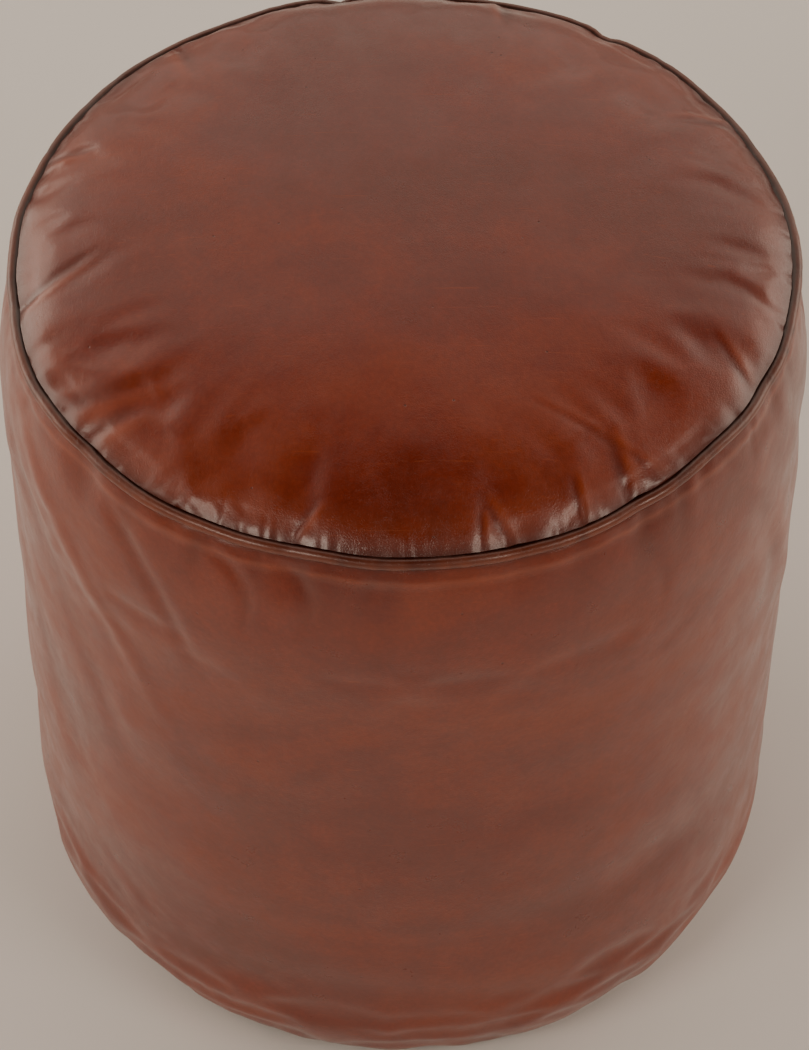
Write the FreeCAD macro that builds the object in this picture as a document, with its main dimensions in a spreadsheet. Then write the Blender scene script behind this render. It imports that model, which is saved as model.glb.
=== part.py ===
"""A piped leather drum pouf: cover, piping, base zip, liner bag and filling, as a parametric document.

Frame: +Z up, origin at the middle of the base on the floor, the zip along X. Sizes are millimetres.
Each piece, or set of equal pieces, is an object in NODES and goes to parts/LABEL.step.
"""
import FreeCAD, Part
import math
import os
import re
import Sketcher
from FreeCAD import Placement, Rotation, Vector

SIZES = [
    # The cover's outline
    ("seam_radius", 200, "top seam line"),
    ("belly_out", 13, "the straight part of the wall stands out past the top seam"),
    ("base_seam_in", 6, "the base seam lies inside the top seam"),
    ("rim_width", 22, "from the base seam to the flat that the base stands on"),
    ("seam_height", 451, "top seam above the floor"),
    ("shoulder_drop", 75, "from the top seam down to the straight wall"),
    ("roll_height", 62, "where the wall starts to roll in to the base"),
    ("base_seam_height", 8, "base seam above the floor"),
    ("crown_rise", 29, "top of the crown above the top seam"),
    ("border_width", 30, "steep border of the top panel"),
    ("border_rise", 14.5, "rise over that border"),
    # Materials and making
    ("leather", 1.4, "cover leather"),
    ("allowance", 10, "leather turned in at a seam"),
    ("turned_back", 1.2, "a turned edge stands back this far behind the piping"),
    ("layer_gap", 0.1, "between sewn layers"),
    ("thread", 0.6, "sewing thread"),
    ("cord_radius", 2.0, "filler cord in the piping"),
    ("piping_leather", 0.9, "skived strip round the cord"),
    ("liner_room", 1.4, "liner clear of the doubled leather"),
    ("cloth", 0.6, "liner cotton"),
    ("bag_clear", 1.5, "liner clear of the turned-in seams"),
    ("bag_seam_drop", 5, "liner's upper corner under the top seam line"),
    ("bag_shoulder", 17, "liner leaves the wall this far under the top seam"),
    ("bag_crown_step", 4, "liner's upper corner to where it meets the crown"),
    ("bag_foot_rise", 4, "liner's lower corner over the base seam"),
    ("stuffing_gap", 0.3, "between liner and stuffing"),
    ("zip_room", 2, "liner clear of the channel's sides and ends"),
    # The channel in the base, and the zip
    ("channel_depth", 5.5, "keeps the zip off the floor"),
    ("channel_floor", 44, "width of the channel's floor"),
    ("channel_slope", 12, "run of the channel's long sides"),
    ("channel_end", 14, "channel's floor past the slot's end"),
    ("slot_margin", 38, "from the base seam to the end of the opening between the base panels"),
    ("slot_width", 14, "opening between the hems"),
    ("hem", 12, "leather turned under along the opening"),
    ("tape_end", 8, "tape past the slot's end"),
    ("tape_width", 15, "zip tape, each side"),
    ("tape_thick", 0.7, "zip tape"),
    ("tape_edge", 1.2, "tape edge from the zip's middle line"),
    ("tooth_pitch", 3.0, "tooth to tooth on one tape"),
    ("tooth_length", 1.2, "tooth along the zip"),
    ("tooth_reach", 1.0, "tooth past the middle line"),
    ("tooth_back", 3.2, "back of the tooth from the middle line"),
    ("tooth_thick", 2.6, "tooth through the tape"),
    ("stop_length", 3.0, "zip stops"),
    ("stop_margin", 3.0, "from the top stops to the slot's end"),
    ("slider_length", 16, "slider"),
    ("slider_width", 10.4, "slider"),
    ("slider_plate", 1.1, "each of the slider's two plates"),
    ("slider_clear", 0.35, "running clearance round teeth and tape"),
    ("wedge_width", 1.6, "post between the slider's plates"),
    ("wedge_length", 3.0, "post along the slider"),
    ("wedge_inset", 1.0, "post from the slider's front"),
    ("bail_width", 2.6, "bridge that holds the pull"),
    ("bail_room", 2.8, "room for the pull under the bridge"),
    ("bail_thick", 1.2, "bridge"),
    ("bail_inset", 2, "bridge's feet from the slider's ends"),
    ("bail_taper", 1.4, "bridge's lean from foot to top"),
    ("pull_length", 28, "pull, from its pivot"),
    ("pull_width", 9, "pull"),
    ("pull_thick", 1.5, "pull and its cross bar"),
    ("pull_window", 9.2, "window round the bridge, along the pull"),
    ("pull_arm", 1.5, "pull beside its window"),
    ("pull_hole", 2, "radius of the hole near the pull's end"),
    ("pull_floor_gap", 0.3, "tip of the hanging pull above the floor"),
    ("stitch_length", 3.4, "topstitch"),
    ("stitch_pitch", 4.4, "stitch to stitch"),
    ("tack_length", 1.6, "stitched bar across each end of the slot"),
]
NAMES = [name for name, _, _ in SIZES]

doc = FreeCAD.newDocument("pouf")
sizes = doc.addObject("Spreadsheet::Sheet", "sizes")
for line, (alias, number, meaning) in enumerate(SIZES, 1):
    sizes.set(f"A{line}", meaning)
    sizes.set(f"B{line}", str(number))
    sizes.setAlias(f"B{line}", alias)
doc.recompute()

NODES = []


# ---------------------------------------------------------------- expressions

def bound(text):
    """The text as an expression that reads each named size from the sheet."""
    return re.sub(r"\b(" + "|".join(NAMES) + r")\b", r"sizes.\1", text)


def value(text):
    """The number that an expression gives now."""
    return float(sizes.evalExpression(bound(text)))


def bind(thing, **properties):
    """Binds properties of an object to expressions. A double underscore in a name stands for a dot."""
    for name, text in properties.items():
        thing.setExpression(name.replace("__", "."), bound(text))
    return thing


# ------------------------------------------------------------ lines of the cover

def sagitta(run, rise):
    """Radius of an arc that is tangent to a line at one end and leaves it by rise over run."""
    return f"((({run})^2 + ({rise})^2) / (2 * ({rise})))"


# Heights round the two seams. The piping's strip lies between the turned edges of the leather.
BELLY_R = "(seam_radius + belly_out)"
BASE_R = "(seam_radius - base_seam_in)"
REST_R = f"({BASE_R} - rim_width)"
BEAD = "(cord_radius + layer_gap + piping_leather)"
STRIP = "(piping_leather + layer_gap)"
BEAD_R = f"(seam_radius - turned_back + sqrt(({BEAD} + layer_gap)^2 - {STRIP}^2))"
SIDE_TOP = f"(seam_height - {BEAD} - layer_gap)"
EDGE_LOW = f"(seam_height + {BEAD} + layer_gap)"
SIDE_LOW = "(base_seam_height + layer_gap / 2)"
BASE_TOP = "(base_seam_height - layer_gap / 2)"
TURN_IN = "(seam_radius - allowance)"
BASE_TURN_IN = f"({BASE_R} - allowance)"

# The wall is a straight stretch between two arcs. The crown is a wide arc and a tight border arc, tangent.
STRAIGHT_TOP = "(seam_height - shoulder_drop)"
SHOULDER = sagitta(f"{SIDE_TOP} - {STRAIGHT_TOP}", "belly_out")
ROLL = sagitta(f"roll_height - {SIDE_LOW}", "belly_out + base_seam_in")
DISH = sagitta("rim_width", BASE_TOP)
EDGE_R = "(seam_radius - turned_back / 2)"
JOIN_R = f"({EDGE_R} - border_width)"
JOIN_Z = f"({EDGE_LOW} + border_rise)"
CROWN_TOP = "(seam_height + crown_rise)"
CROWN = sagitta(JOIN_R, f"{CROWN_TOP} - {JOIN_Z}")
CROWN_MID = f"({CROWN_TOP} - {CROWN})"
BORDER = (f"((border_width^2 + border_rise^2) * {CROWN}"
          f" / (2 * (border_rise * ({JOIN_Z} - {CROWN_MID}) - border_width * {JOIN_R})))")
BORDER_R = f"({JOIN_R} * (1 - {BORDER} / {CROWN}))"
BORDER_Z = f"({JOIN_Z} - {BORDER} * ({JOIN_Z} - {CROWN_MID}) / {CROWN})"


def on_roll(depth, z):
    """Radius of the wall's lower arc at height z, on a line at a depth inside the outer face."""
    return f"({BELLY_R} - {ROLL} + sqrt(({ROLL} - ({depth}))^2 - (roll_height - ({z}))^2))"


def on_shoulder(depth, z):
    """Radius of the wall's upper arc at height z."""
    return f"({BELLY_R} - {SHOULDER} + sqrt(({SHOULDER} - ({depth}))^2 - (({z}) - {STRAIGHT_TOP})^2))"


def on_dish(depth, z):
    """Radius of the base's rim arc at height z."""
    return f"({REST_R} + sqrt(({DISH} - ({depth}))^2 - ({DISH} - ({z}))^2))"


def on_border(depth, z):
    """Radius of the crown's border arc at height z."""
    return f"({BORDER_R} + sqrt(({BORDER} - ({depth}))^2 - (({z}) - {BORDER_Z})^2))"


def border_height(depth, r):
    """Height of the crown's border arc at radius r."""
    return f"({BORDER_Z} + sqrt(({BORDER} - ({depth}))^2 - (({r}) - {BORDER_R})^2))"


def wall_up(depth, low, high):
    """Corners of the wall's line from height low to height high, at a depth inside the outer face."""
    return [(on_roll(depth, low), low, f"{ROLL} - ({depth})"),
            (f"{BELLY_R} - ({depth})", "roll_height"),
            (f"{BELLY_R} - ({depth})", STRAIGHT_TOP, f"{SHOULDER} - ({depth})"),
            (on_shoulder(depth, high), high)]


def crown_in(depth, r, z):
    """Corners of the crown's line from (r, z) on its border to the axis."""
    share = f"(1 - ({depth}) / {CROWN})"
    join_z = f"{CROWN_MID} + ({JOIN_Z} - {CROWN_MID}) * {share}"
    return [(r, z, f"{BORDER} - ({depth})"), (f"{JOIN_R} * {share}", join_z, f"{CROWN} - ({depth})"),
            ("0", f"{CROWN_TOP} - ({depth})")]


def base_out(depth, z):
    """Corners of the base's line from the axis to height z on its rim."""
    return [("0", depth), (REST_R, depth, f"{DISH} - ({depth})"), (on_dish(depth, z), z)]


def backwards(corners):
    """The same line walked the other way, with its arcs turned."""
    radii = [c[2] if len(c) > 2 else None for c in corners]
    points = [c[:2] for c in corners][::-1]
    arcs = [None if r is None else f"-({r})" for r in radii[:-1]][::-1] + [None]
    return [p if r is None else (*p, r) for p, r in zip(points, arcs)]


# ------------------------------------------------------------- bodies and sketches

def body(label, node=True):
    """A new body. node says that it is a piece of the pouf and not a cutting tool."""
    made = doc.addObject("PartDesign::Body", label)
    made.Label = label
    made.AllowCompound = True
    if node:
        NODES.append(made)
    return made


def datum(owner, role):
    """One of the body's own origin planes or axes."""
    return next(f for f in owner.Origin.OriginFeatures if f.Role == role)


def arc_centre(a, b, radius):
    """Centre of the shorter arc from a to b, counter-clockwise where radius is positive."""
    half = (b - a) / 2
    reach = math.sqrt(max(radius ** 2 - half.Length ** 2, 0.0))
    side = Vector(-half.y, half.x, 0).normalize()
    return a + half + side * math.copysign(reach, radius)


def dimension(sketch, kind, where, text):
    """Adds a dimension that is bound to an expression."""
    number = sketch.addConstraint(Sketcher.Constraint(kind, *where, value(text)))
    sketch.setExpression(f"Constraints[{number}]", bound(text))


def add_outline(sketch, corners):
    """Adds a closed line through the corners to a sketch, fully bound.
    A corner is (x, y) or (x, y, radius). A radius makes the edge after it an arc, turning left if positive.
    """
    first, count = sketch.GeometryCount, len(corners)
    points = [Vector(value(c[0]), value(c[1]), 0) for c in corners]
    ends = []
    for k, corner in enumerate(corners):
        a, b = points[k], points[(k + 1) % count]
        if len(corner) < 3:
            sketch.addGeometry(Part.LineSegment(a, b), False)
            ends.append((1, 2))
            continue
        radius = value(corner[2])
        centre = arc_centre(a, b, radius)
        start, stop = (a, b) if radius > 0 else (b, a)
        angles = [math.atan2((p - centre).y, (p - centre).x) for p in (start, stop)]
        circle = Part.Circle(centre, Vector(0, 0, 1), abs(radius))
        sketch.addGeometry(Part.ArcOfCircle(circle, *angles), False)
        ends.append((1, 2) if radius > 0 else (2, 1))
    for k, corner in enumerate(corners):
        edge, after = first + k, (k + 1) % count
        meeting = (edge, ends[k][1], first + after, ends[after][0])
        sketch.addConstraint(Sketcher.Constraint("Coincident", *meeting))
        dimension(sketch, "DistanceX", (edge, ends[k][0]), corner[0])
        dimension(sketch, "DistanceY", (edge, ends[k][0]), corner[1])
        if len(corner) > 2:
            dimension(sketch, "Radius", (edge,), f"abs({corner[2]})")


def add_circle(sketch, x, y, radius):
    """Adds a bound circle to a sketch."""
    circle = Part.Circle(Vector(value(x), value(y), 0), Vector(0, 0, 1), value(radius))
    edge = sketch.addGeometry(circle, False)
    dimension(sketch, "DistanceX", (edge, 3), x)
    dimension(sketch, "DistanceY", (edge, 3), y)
    dimension(sketch, "Radius", (edge,), radius)


def sketch_on(owner, role, outlines=(), circles=()):
    """A sketch on one of the body's own planes."""
    made = owner.newObject("Sketcher::SketchObject", owner.Label + "_line")
    made.AttachmentSupport = [(datum(owner, role), "")]
    made.MapMode = "FlatFace"
    for corners in outlines:
        add_outline(made, corners)
    for circle in circles:
        add_circle(made, *circle)
    return made


def revolve(owner, sketch, angle="360", cut=False):
    """Turns a sketch about the pouf's axis, evenly to both sides of its plane."""
    made = owner.newObject("PartDesign::" + ("Groove" if cut else "Revolution"), owner.Label + "_turned")
    made.Profile = sketch
    made.ReferenceAxis = (sketch, ["V_Axis"])
    made.Midplane = True
    return bind(made, Angle=angle)


def pad(owner, sketch, length, cut=False):
    """Extrudes a sketch evenly to both sides of its plane."""
    made = owner.newObject("PartDesign::" + ("Pocket" if cut else "Pad"), owner.Label + "_pad")
    made.Profile = sketch
    made.SideType = "Symmetric"
    return bind(made, Length=length)


def row(owner, feature, count, length):
    """Repeats a feature of the body along X."""
    made = owner.newObject("PartDesign::LinearPattern", owner.Label + "_row")
    made.Originals = [feature]
    made.Direction = (datum(owner, "X_Axis"), [""])
    bind(made, Length=length, Occurrences=count)
    owner.Tip = made


def put(thing, x="0", y="0", z="0"):
    """Places an object by expressions."""
    return bind(thing, Placement__Base__x=x, Placement__Base__y=y, Placement__Base__z=z)


def block(label, low, high):
    """A box between two corners."""
    made = doc.addObject("Part::Box", label)
    bind(made, Length=f"({high[0]}) - ({low[0]})", Width=f"({high[1]}) - ({low[1]})",
         Height=f"({high[2]}) - ({low[2]})")
    return put(made, *low)


def boolean(kind, label, base, tool, node=False):
    """A Part boolean of two objects: Cut, Fuse or Common."""
    made = doc.addObject(f"Part::{kind}", label)
    made.Label = label
    made.Base, made.Tool = base, tool
    if node:
        NODES.append(made)
    return made


def mirror(label, source, normal, node=True):
    """A mirrored copy of a piece."""
    made = doc.addObject("Part::Mirroring", label)
    made.Label = label
    made.Source = source
    made.Normal = normal
    if node:
        NODES.append(made)
    return made


# ---------------------------------------------------------------------- the wall

def side_panel(label, front):
    """Half of the wall. Its rims are turned in, and its upright edges are turned back and pressed open."""
    made = body(label)
    turned_top = f"(seam_height - {STRIP})"
    double = backwards(wall_up("2 * leather", f"{SIDE_LOW} + leather", f"{turned_top} - leather"))
    outline = wall_up("0", SIDE_LOW, SIDE_TOP) + [
        ("seam_radius - turned_back", turned_top), (TURN_IN, turned_top),
        (TURN_IN, f"{turned_top} - leather"),
        *double, (BASE_TURN_IN, f"{SIDE_LOW} + leather"), (BASE_TURN_IN, SIDE_LOW)]
    revolve(made, sketch_on(made, "YZ_Plane", [outline]), f"180 - layer_gap / {BELLY_R} * 180 / pi")
    single = (wall_up("leather", f"{SIDE_LOW} + leather", f"{turned_top} - leather")
              + backwards(wall_up("3 * leather", f"{SIDE_LOW} + leather", f"{turned_top} - leather")))
    between = f"180 - 2 * allowance / {BELLY_R} * 180 / pi"
    revolve(made, sketch_on(made, "YZ_Plane", [single]), between, cut=True)
    if front:
        made.Placement = Placement(Vector(), Rotation(Vector(0, 0, 1), 180))


def top_panel():
    """The round top panel, domed, with its edge turned in under it."""
    made = body("top_panel")
    turned = f"(seam_height + {STRIP})"
    inner_low = f"{turned} + leather"
    outline = [*crown_in("0", EDGE_R, EDGE_LOW),
               *backwards(crown_in("leather", on_border("leather", inner_low), inner_low)),
               (TURN_IN, inner_low), (TURN_IN, turned), ("seam_radius - turned_back", turned)]
    revolve(made, sketch_on(made, "XZ_Plane", [outline]))


# -------------------------------------------------------------------- the piping

def piping():
    """A strip of leather folded round a cord. Its two edges are sewn in between top panel and wall."""
    cover = body("piping_cover")
    neck = f"{BEAD_R} - sqrt({BEAD}^2 - piping_leather^2)"
    outline = [(TURN_IN, "seam_height - piping_leather"), (neck, "seam_height - piping_leather", BEAD),
               (f"{BEAD_R} + {BEAD}", "seam_height", BEAD), (neck, "seam_height + piping_leather"),
               (TURN_IN, "seam_height + piping_leather")]
    hole = (BEAD_R, "seam_height", "cord_radius + layer_gap")
    revolve(cover, sketch_on(cover, "XZ_Plane", [outline], [hole]))
    cord = body("piping_cord")
    revolve(cord, sketch_on(cord, "XZ_Plane", [], [(BEAD_R, "seam_height", "cord_radius")]))


# ---------------------------------------------------------------------- the base

ZIP_MID = "(channel_depth + 2 * leather + layer_gap + tape_thick / 2)"
SLOT_END = f"({BASE_R} - slot_margin)"
SPAN = f"(2 * {BELLY_R})"


def channel(label, depth, rise, spread):
    """The long wedge that a channel leaves out, at a depth inside the base, its floor raised by rise."""
    made = doc.addObject("Part::Wedge", label)
    floor_x, floor_y = f"({SLOT_END} + channel_end + ({spread}))", f"(channel_floor / 2 + ({spread}))"
    foot = f"(channel_slope * ({rise} + channel_depth) / channel_depth)"
    bind(made, Xmin=f"-{floor_x} - {foot} / 2", Xmax=f"{floor_x} + {foot} / 2", Ymin="0",
         Ymax=f"channel_depth + {rise}", X2min=f"-{floor_x}", X2max=floor_x,
         Zmin=f"-{floor_y} - {foot}", Zmax=f"{floor_y} + {foot}", Z2min=f"-{floor_y}", Z2max=floor_y)
    made.Placement = Placement(Vector(), Rotation(Vector(1, 0, 0), 90))
    return bind(made, Placement__Base__z=depth)


def above_base(label, depth, over):
    """All that lies above the base's line at a depth inside it. Past the turned-in rim it ends low."""
    made = body(label + "_bowl", node=False)
    low = f"{BASE_TOP} - ({depth})"
    outline = [*base_out(depth, low)]
    if over == "rim":
        outline += [("0", low)]
    else:
        outline += [(over, low), (over, "2 * roll_height"), ("0", "2 * roll_height")]
    revolve(made, sketch_on(made, "XZ_Plane", [outline]))
    return boolean("Cut", label, made, channel(label + "_channel", depth, "0", "0"))


def base_panels():
    """Two half-round panels with a channel for the zip, turned under along their straight edges."""
    outer = above_base("base_outside", "0", "rim")
    inner = above_base("base_inside", "leather", BASE_TURN_IN)
    second = above_base("base_second", "2 * leather", f"{BASE_TURN_IN} + allowance / 4")
    skin = boolean("Cut", "base_skin", outer, inner)
    layer = boolean("Cut", "base_under_layer", inner, second)
    reach = f"({BASE_TURN_IN} - layer_gap)"
    strip = block("base_turned_strip", (f"-{reach}", "0", "0"),
                  (reach, "slot_width / 2 + hem", "channel_depth + 2 * leather"))
    turned = boolean("Common", "base_turned", layer, strip)
    sewn = boolean("Fuse", "base_whole", skin, turned)
    half = block("base_half", (f"-{SPAN}", "layer_gap / 2", "-layer_gap"),
                 (SPAN, SPAN, "2 * base_seam_height"))
    side = boolean("Common", "base_side", sewn, half)
    slot = block("base_slot", (f"-{SLOT_END}", "-slot_width", "0"),
                 (SLOT_END, "slot_width / 2", "3 * base_seam_height"))
    back = boolean("Cut", "base_panel_back", side, slot, node=True)
    mirror("base_panel_front", back, Vector(0, 1, 0))


# ----------------------------------------------------------------------- the zip

SLIDER_X = f"({SLOT_END} - stop_margin - stop_length - slider_length / 2)"
WEDGE_FRONT = "(slider_length / 2 - wedge_inset)"
WEDGE_BACK = f"({WEDGE_FRONT} - wedge_length)"
PIVOT_Z = f"({ZIP_MID} - tooth_thick / 2 - slider_clear - slider_plate - bail_room / 2)"
HALF_TEETH = (f"floor(({SLIDER_X} + {WEDGE_BACK} - (tooth_pitch + tooth_length) / 2 - slider_clear)"
              " / tooth_pitch)")
HALF_CHAIN = f"(tooth_pitch * {HALF_TEETH})"


def clamp_line(near, far):
    """Section of a piece that grips one tape's edge: a C, open away from the zip's middle line."""
    grip = "(tape_thick / 2 + layer_gap / 2)"
    throat = "tape_edge - layer_gap"
    half = "tooth_thick / 2"
    return [(near, f"-{half}"), (far, f"-{half}"), (far, f"-{grip}"), (throat, f"-{grip}"),
            (throat, grip), (far, grip), (far, half), (near, half)]


def zip_tapes():
    """Two woven tapes on the hems."""
    end = f"({SLOT_END} + tape_end)"
    back = block("zip_tape_back", (f"-{end}", "tape_edge", f"{ZIP_MID} - tape_thick / 2"),
                 (end, "tape_edge + tape_width", f"{ZIP_MID} + tape_thick / 2"))
    NODES.append(back)
    mirror("zip_tape_front", back, Vector(0, 1, 0))


def zip_teeth():
    """Moulded teeth. Those of one tape lie between those of the other."""
    for label, sign, shift in (("zip_teeth_back", "1", "0"), ("zip_teeth_front", "-1", "tooth_pitch / 2")):
        made = body(label)
        line = [(f"({sign}) * ({y})", z) for y, z in clamp_line("-tooth_reach", "tooth_back")]
        tooth = pad(made, sketch_on(made, "YZ_Plane", [line]), "tooth_length")
        row(made, tooth, f"2 * {HALF_TEETH} + 1", f"2 * {HALF_CHAIN}")
        put(made, f"-{HALF_CHAIN} + {shift}", z=ZIP_MID)


def zip_stops():
    """The block that joins both tapes at one end, and the two stops at the other."""
    low = body("zip_bottom_stop")
    half = clamp_line("0", "tooth_back")[1:-1]
    line = half + [(f"-({y})", z) for y, z in half[::-1]]
    pad(low, sketch_on(low, "YZ_Plane", [line]), "stop_length")
    put(low, f"-{HALF_CHAIN} - tooth_length / 2 - layer_gap - stop_length / 2", z=ZIP_MID)
    high = body("zip_top_stops")
    pair = [clamp_line("tape_edge - 4 * layer_gap", "tooth_back")]
    pair += [[(f"-({y})", z) for y, z in pair[0]]]
    pad(high, sketch_on(high, "YZ_Plane", pair), "stop_length")
    put(high, f"{SLIDER_X} + slider_length / 2 + layer_gap + stop_length / 2", z=ZIP_MID)


def zip_slider():
    """Two plates on a post, rims that guide the teeth, and the bridge that holds the pull."""
    made = body("zip_slider")
    put(made, SLIDER_X, z=ZIP_MID)
    inside = "(tooth_thick / 2 + slider_clear)"
    outside = f"({inside} + slider_plate)"
    lip = "(tape_thick / 2 + slider_clear)"
    throat = "(tooth_back + slider_clear)"
    half = "(slider_width / 2)"
    channel_line = [(f"-{half}", lip), (f"-{throat}", lip), (f"-{throat}", inside), (throat, inside),
                    (throat, lip), (half, lip), (half, outside), (f"-{half}", outside)]
    lower = [(y, f"-({z})") for y, z in channel_line]
    pad(made, sketch_on(made, "YZ_Plane", [channel_line, lower]), "slider_length")
    post = [(WEDGE_BACK, f"-{outside}"), (WEDGE_FRONT, f"-{outside}"),
            (WEDGE_FRONT, outside), (WEDGE_BACK, outside)]
    pad(made, sketch_on(made, "XZ_Plane", [post]), "wedge_width")
    foot, top = "(slider_length / 2 - bail_inset)", "(slider_length / 2 - bail_inset - bail_taper)"
    under = f"(-{outside} - bail_room)"
    bridge = [(f"-{foot}", f"-{outside} + layer_gap"), (f"-{top}", f"{under} - bail_thick"),
              (top, f"{under} - bail_thick"), (foot, f"-{outside} + layer_gap"),
              (f"{foot} - bail_thick", f"-{outside} + layer_gap"), (f"{top} - bail_thick", under),
              (f"-{top} + bail_thick", under), (f"-{foot} + bail_thick", f"-{outside} + layer_gap")]
    pad(made, sketch_on(made, "XZ_Plane", [bridge]), "bail_width")


def zip_pull():
    """The tab that hangs on the slider's bridge by its round cross bar, with its tip just off the floor."""
    made = body("zip_pull")
    back, wide = "(pull_thick / 2)", "(pull_width / 2)"
    tip = "(-pull_length + pull_width / 2)"
    tab = [("0", f"-{wide}"), ("0", wide), (tip, wide, wide), ("-pull_length", "0", wide),
           (tip, f"-{wide}")]
    open_y = f"({wide} - pull_arm)"
    window = [(f"-{back}", f"-{open_y}"), (f"-{back}", open_y), (f"-{back} - pull_window", open_y),
              (f"-{back} - pull_window", f"-{open_y}")]
    hole = (tip, "0", "pull_hole")
    pad(made, sketch_on(made, "XY_Plane", [tab, window], [hole]), "pull_thick")
    pad(made, sketch_on(made, "XZ_Plane", [], [("0", "0", back)]), "pull_width")
    made.Placement = Placement(Vector(), Rotation(Vector(0, -1, 0), 1))
    drop = f"({PIVOT_Z} - pull_thick / 2 - pull_floor_gap)"
    bind(made, Placement__Rotation__Angle=f"asin({drop} / pull_length)")
    put(made, SLIDER_X, z=PIVOT_Z)


# -------------------------------------------------------------- liner and filling

LINER = "(2 * leather + liner_room)"


def bag(label, depth, rise):
    """The solid that a bag at a depth inside the cover encloses, clear of seams and zip."""
    made = body(label + "_round", node=False)
    seam_r = f"({TURN_IN} - bag_clear - ({depth}) + {LINER})"
    foot_r = f"({BASE_TURN_IN} - bag_clear - ({depth}) + {LINER})"
    crown_r = f"({seam_r} - bag_crown_step)"
    wall = wall_up(depth, "base_seam_height + allowance", "seam_height - bag_shoulder")
    outline = [("0", depth), (REST_R, depth), (foot_r, "base_seam_height + bag_foot_rise"), *wall,
               (seam_r, "seam_height - bag_seam_drop"),
               *crown_in(depth, crown_r, border_height(depth, crown_r))]
    revolve(made, sketch_on(made, "XZ_Plane", [outline]))
    return boolean("Cut", label, made, channel(label + "_channel", "0", rise, "zip_room"))


def liner_and_filling():
    """A cotton bag in three pieces, and the stuffing that fills it."""
    rise = "(2 * leather + tape_thick + tooth_thick + slider_plate)"
    shell = boolean("Cut", "liner", bag("liner_outside", LINER, rise),
                    bag("liner_inside", f"{LINER} + cloth", f"{rise} + cloth"))
    base_line = f"(channel_depth + {rise} + cloth + 2 * layer_gap)"
    cuts = (("liner_base", "0", f"{base_line} - layer_gap"), ("liner_side", base_line, "seam_height"),
            ("liner_top", "seam_height + layer_gap", f"{CROWN_TOP}"))
    for label, low, high in cuts:
        slab = block(label + "_slab", (f"-{SPAN}", f"-{SPAN}", low), (SPAN, SPAN, high))
        boolean("Common", label, shell, slab, node=True)
    stuffing = bag("filling", f"{LINER} + cloth + stuffing_gap", f"{rise} + cloth + stuffing_gap")
    NODES.append(stuffing)


# --------------------------------------------------------------------- the sewing

def seam_threads():
    """The lockstitch of the seams, as rings of thread on both sides of the sewn layers."""
    radius = "(thread / 2)"
    off = f"({STRIP} + leather + thread / 2 + layer_gap / 2)"
    line_r = "(seam_radius - allowance / 2)"
    top = body("top_seam_thread")
    revolve(top, sketch_on(top, "XZ_Plane", [], [(line_r, f"seam_height + {off}", radius),
                                                 (line_r, f"seam_height - {off}", radius)]))
    off = "(leather + thread / 2 + layer_gap)"
    line_r = f"({BASE_TURN_IN} + allowance / 5)"
    low = body("base_seam_thread")
    revolve(low, sketch_on(low, "XZ_Plane", [], [(line_r, f"base_seam_height + {off}", radius),
                                                 (line_r, f"base_seam_height - {off}", radius)]))
    upright = body("side_seam_threads")
    low, high = f"{SIDE_LOW} + 2 * leather", f"seam_height - {STRIP} - 2 * leather"
    line = (wall_up("2 * leather + layer_gap", low, high)
            + backwards(wall_up("2 * leather + layer_gap + thread", low, high)))
    other = [(f"-({c[0]})", *c[1:2], *(f"-({r})" for r in c[2:])) for c in line]
    revolve(upright, sketch_on(upright, "XZ_Plane", [line]), f"thread / {BELLY_R} * 180 / pi")
    revolve(upright, sketch_on(upright, "XZ_Plane", [other]), f"thread / {BELLY_R} * 180 / pi")


def zip_stitches():
    """Two rows of topstitch through hem and tape, as the short lengths of thread that show on each face."""
    rows = "(slot_width / 2 + hem / 4)"
    half = f"floor(({SLOT_END} - stitch_length) / stitch_pitch)"
    off = "thread / 2 + layer_gap / 2"
    faces = (f"channel_depth - ({off})", f"{ZIP_MID} + tape_thick / 2 + {off}")
    made = body("zip_stitches_back")
    circles = [(rows, z, "thread / 2") for z in faces]
    stitch = pad(made, sketch_on(made, "YZ_Plane", [], circles), "stitch_length")
    row(made, stitch, f"2 * {half} + 1", f"2 * {half} * stitch_pitch")
    put(made, f"-{half} * stitch_pitch")
    mirror("zip_stitches_front", made, Vector(0, 1, 0))


def slot_tacks():
    """A stitched bar across the seam at each end of the slot, on the outside."""
    made = body("slot_end_tacks")
    half = "(slot_width / 2)"
    low, high = "channel_depth - thread - layer_gap / 2", "channel_depth - layer_gap / 2"
    line = [(f"-{half}", low), (half, low), (half, high), (f"-{half}", high)]
    bar = pad(made, sketch_on(made, "YZ_Plane", [line]), "tack_length")
    apart = f"(2 * {SLOT_END} + 2 * tack_length)"
    row(made, bar, "2", apart)
    put(made, f"-{apart} / 2")


# ------------------------------------------------------------------------- build

side_panel("side_panel_back", front=False)
side_panel("side_panel_front", front=True)
top_panel()
piping()
base_panels()
zip_tapes()
zip_teeth()
zip_stops()
zip_slider()
zip_pull()
liner_and_filling()
seam_threads()
zip_stitches()
slot_tacks()
doc.recompute()

faulty = [o.Label for o in doc.Objects if {"Invalid", "Error"} & set(o.State)]
faulty += [n.Label for n in NODES if n.Shape.isNull() or not n.Shape.isValid() or not n.Shape.Solids]
if faulty:
    raise RuntimeError(f"these failed: {sorted(set(faulty))}")

os.makedirs("parts", exist_ok=True)
for node in NODES:
    node.Shape.exportStep(f"parts/{node.Label}.step")
    print(f"{node.Label:22s} {len(node.Shape.Solids):4d} solids {node.Shape.Volume / 1000:10.2f} cm3")
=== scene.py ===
import math

import bmesh
import bpy
import numpy as np
from mathutils import Matrix, Vector, noise


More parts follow.
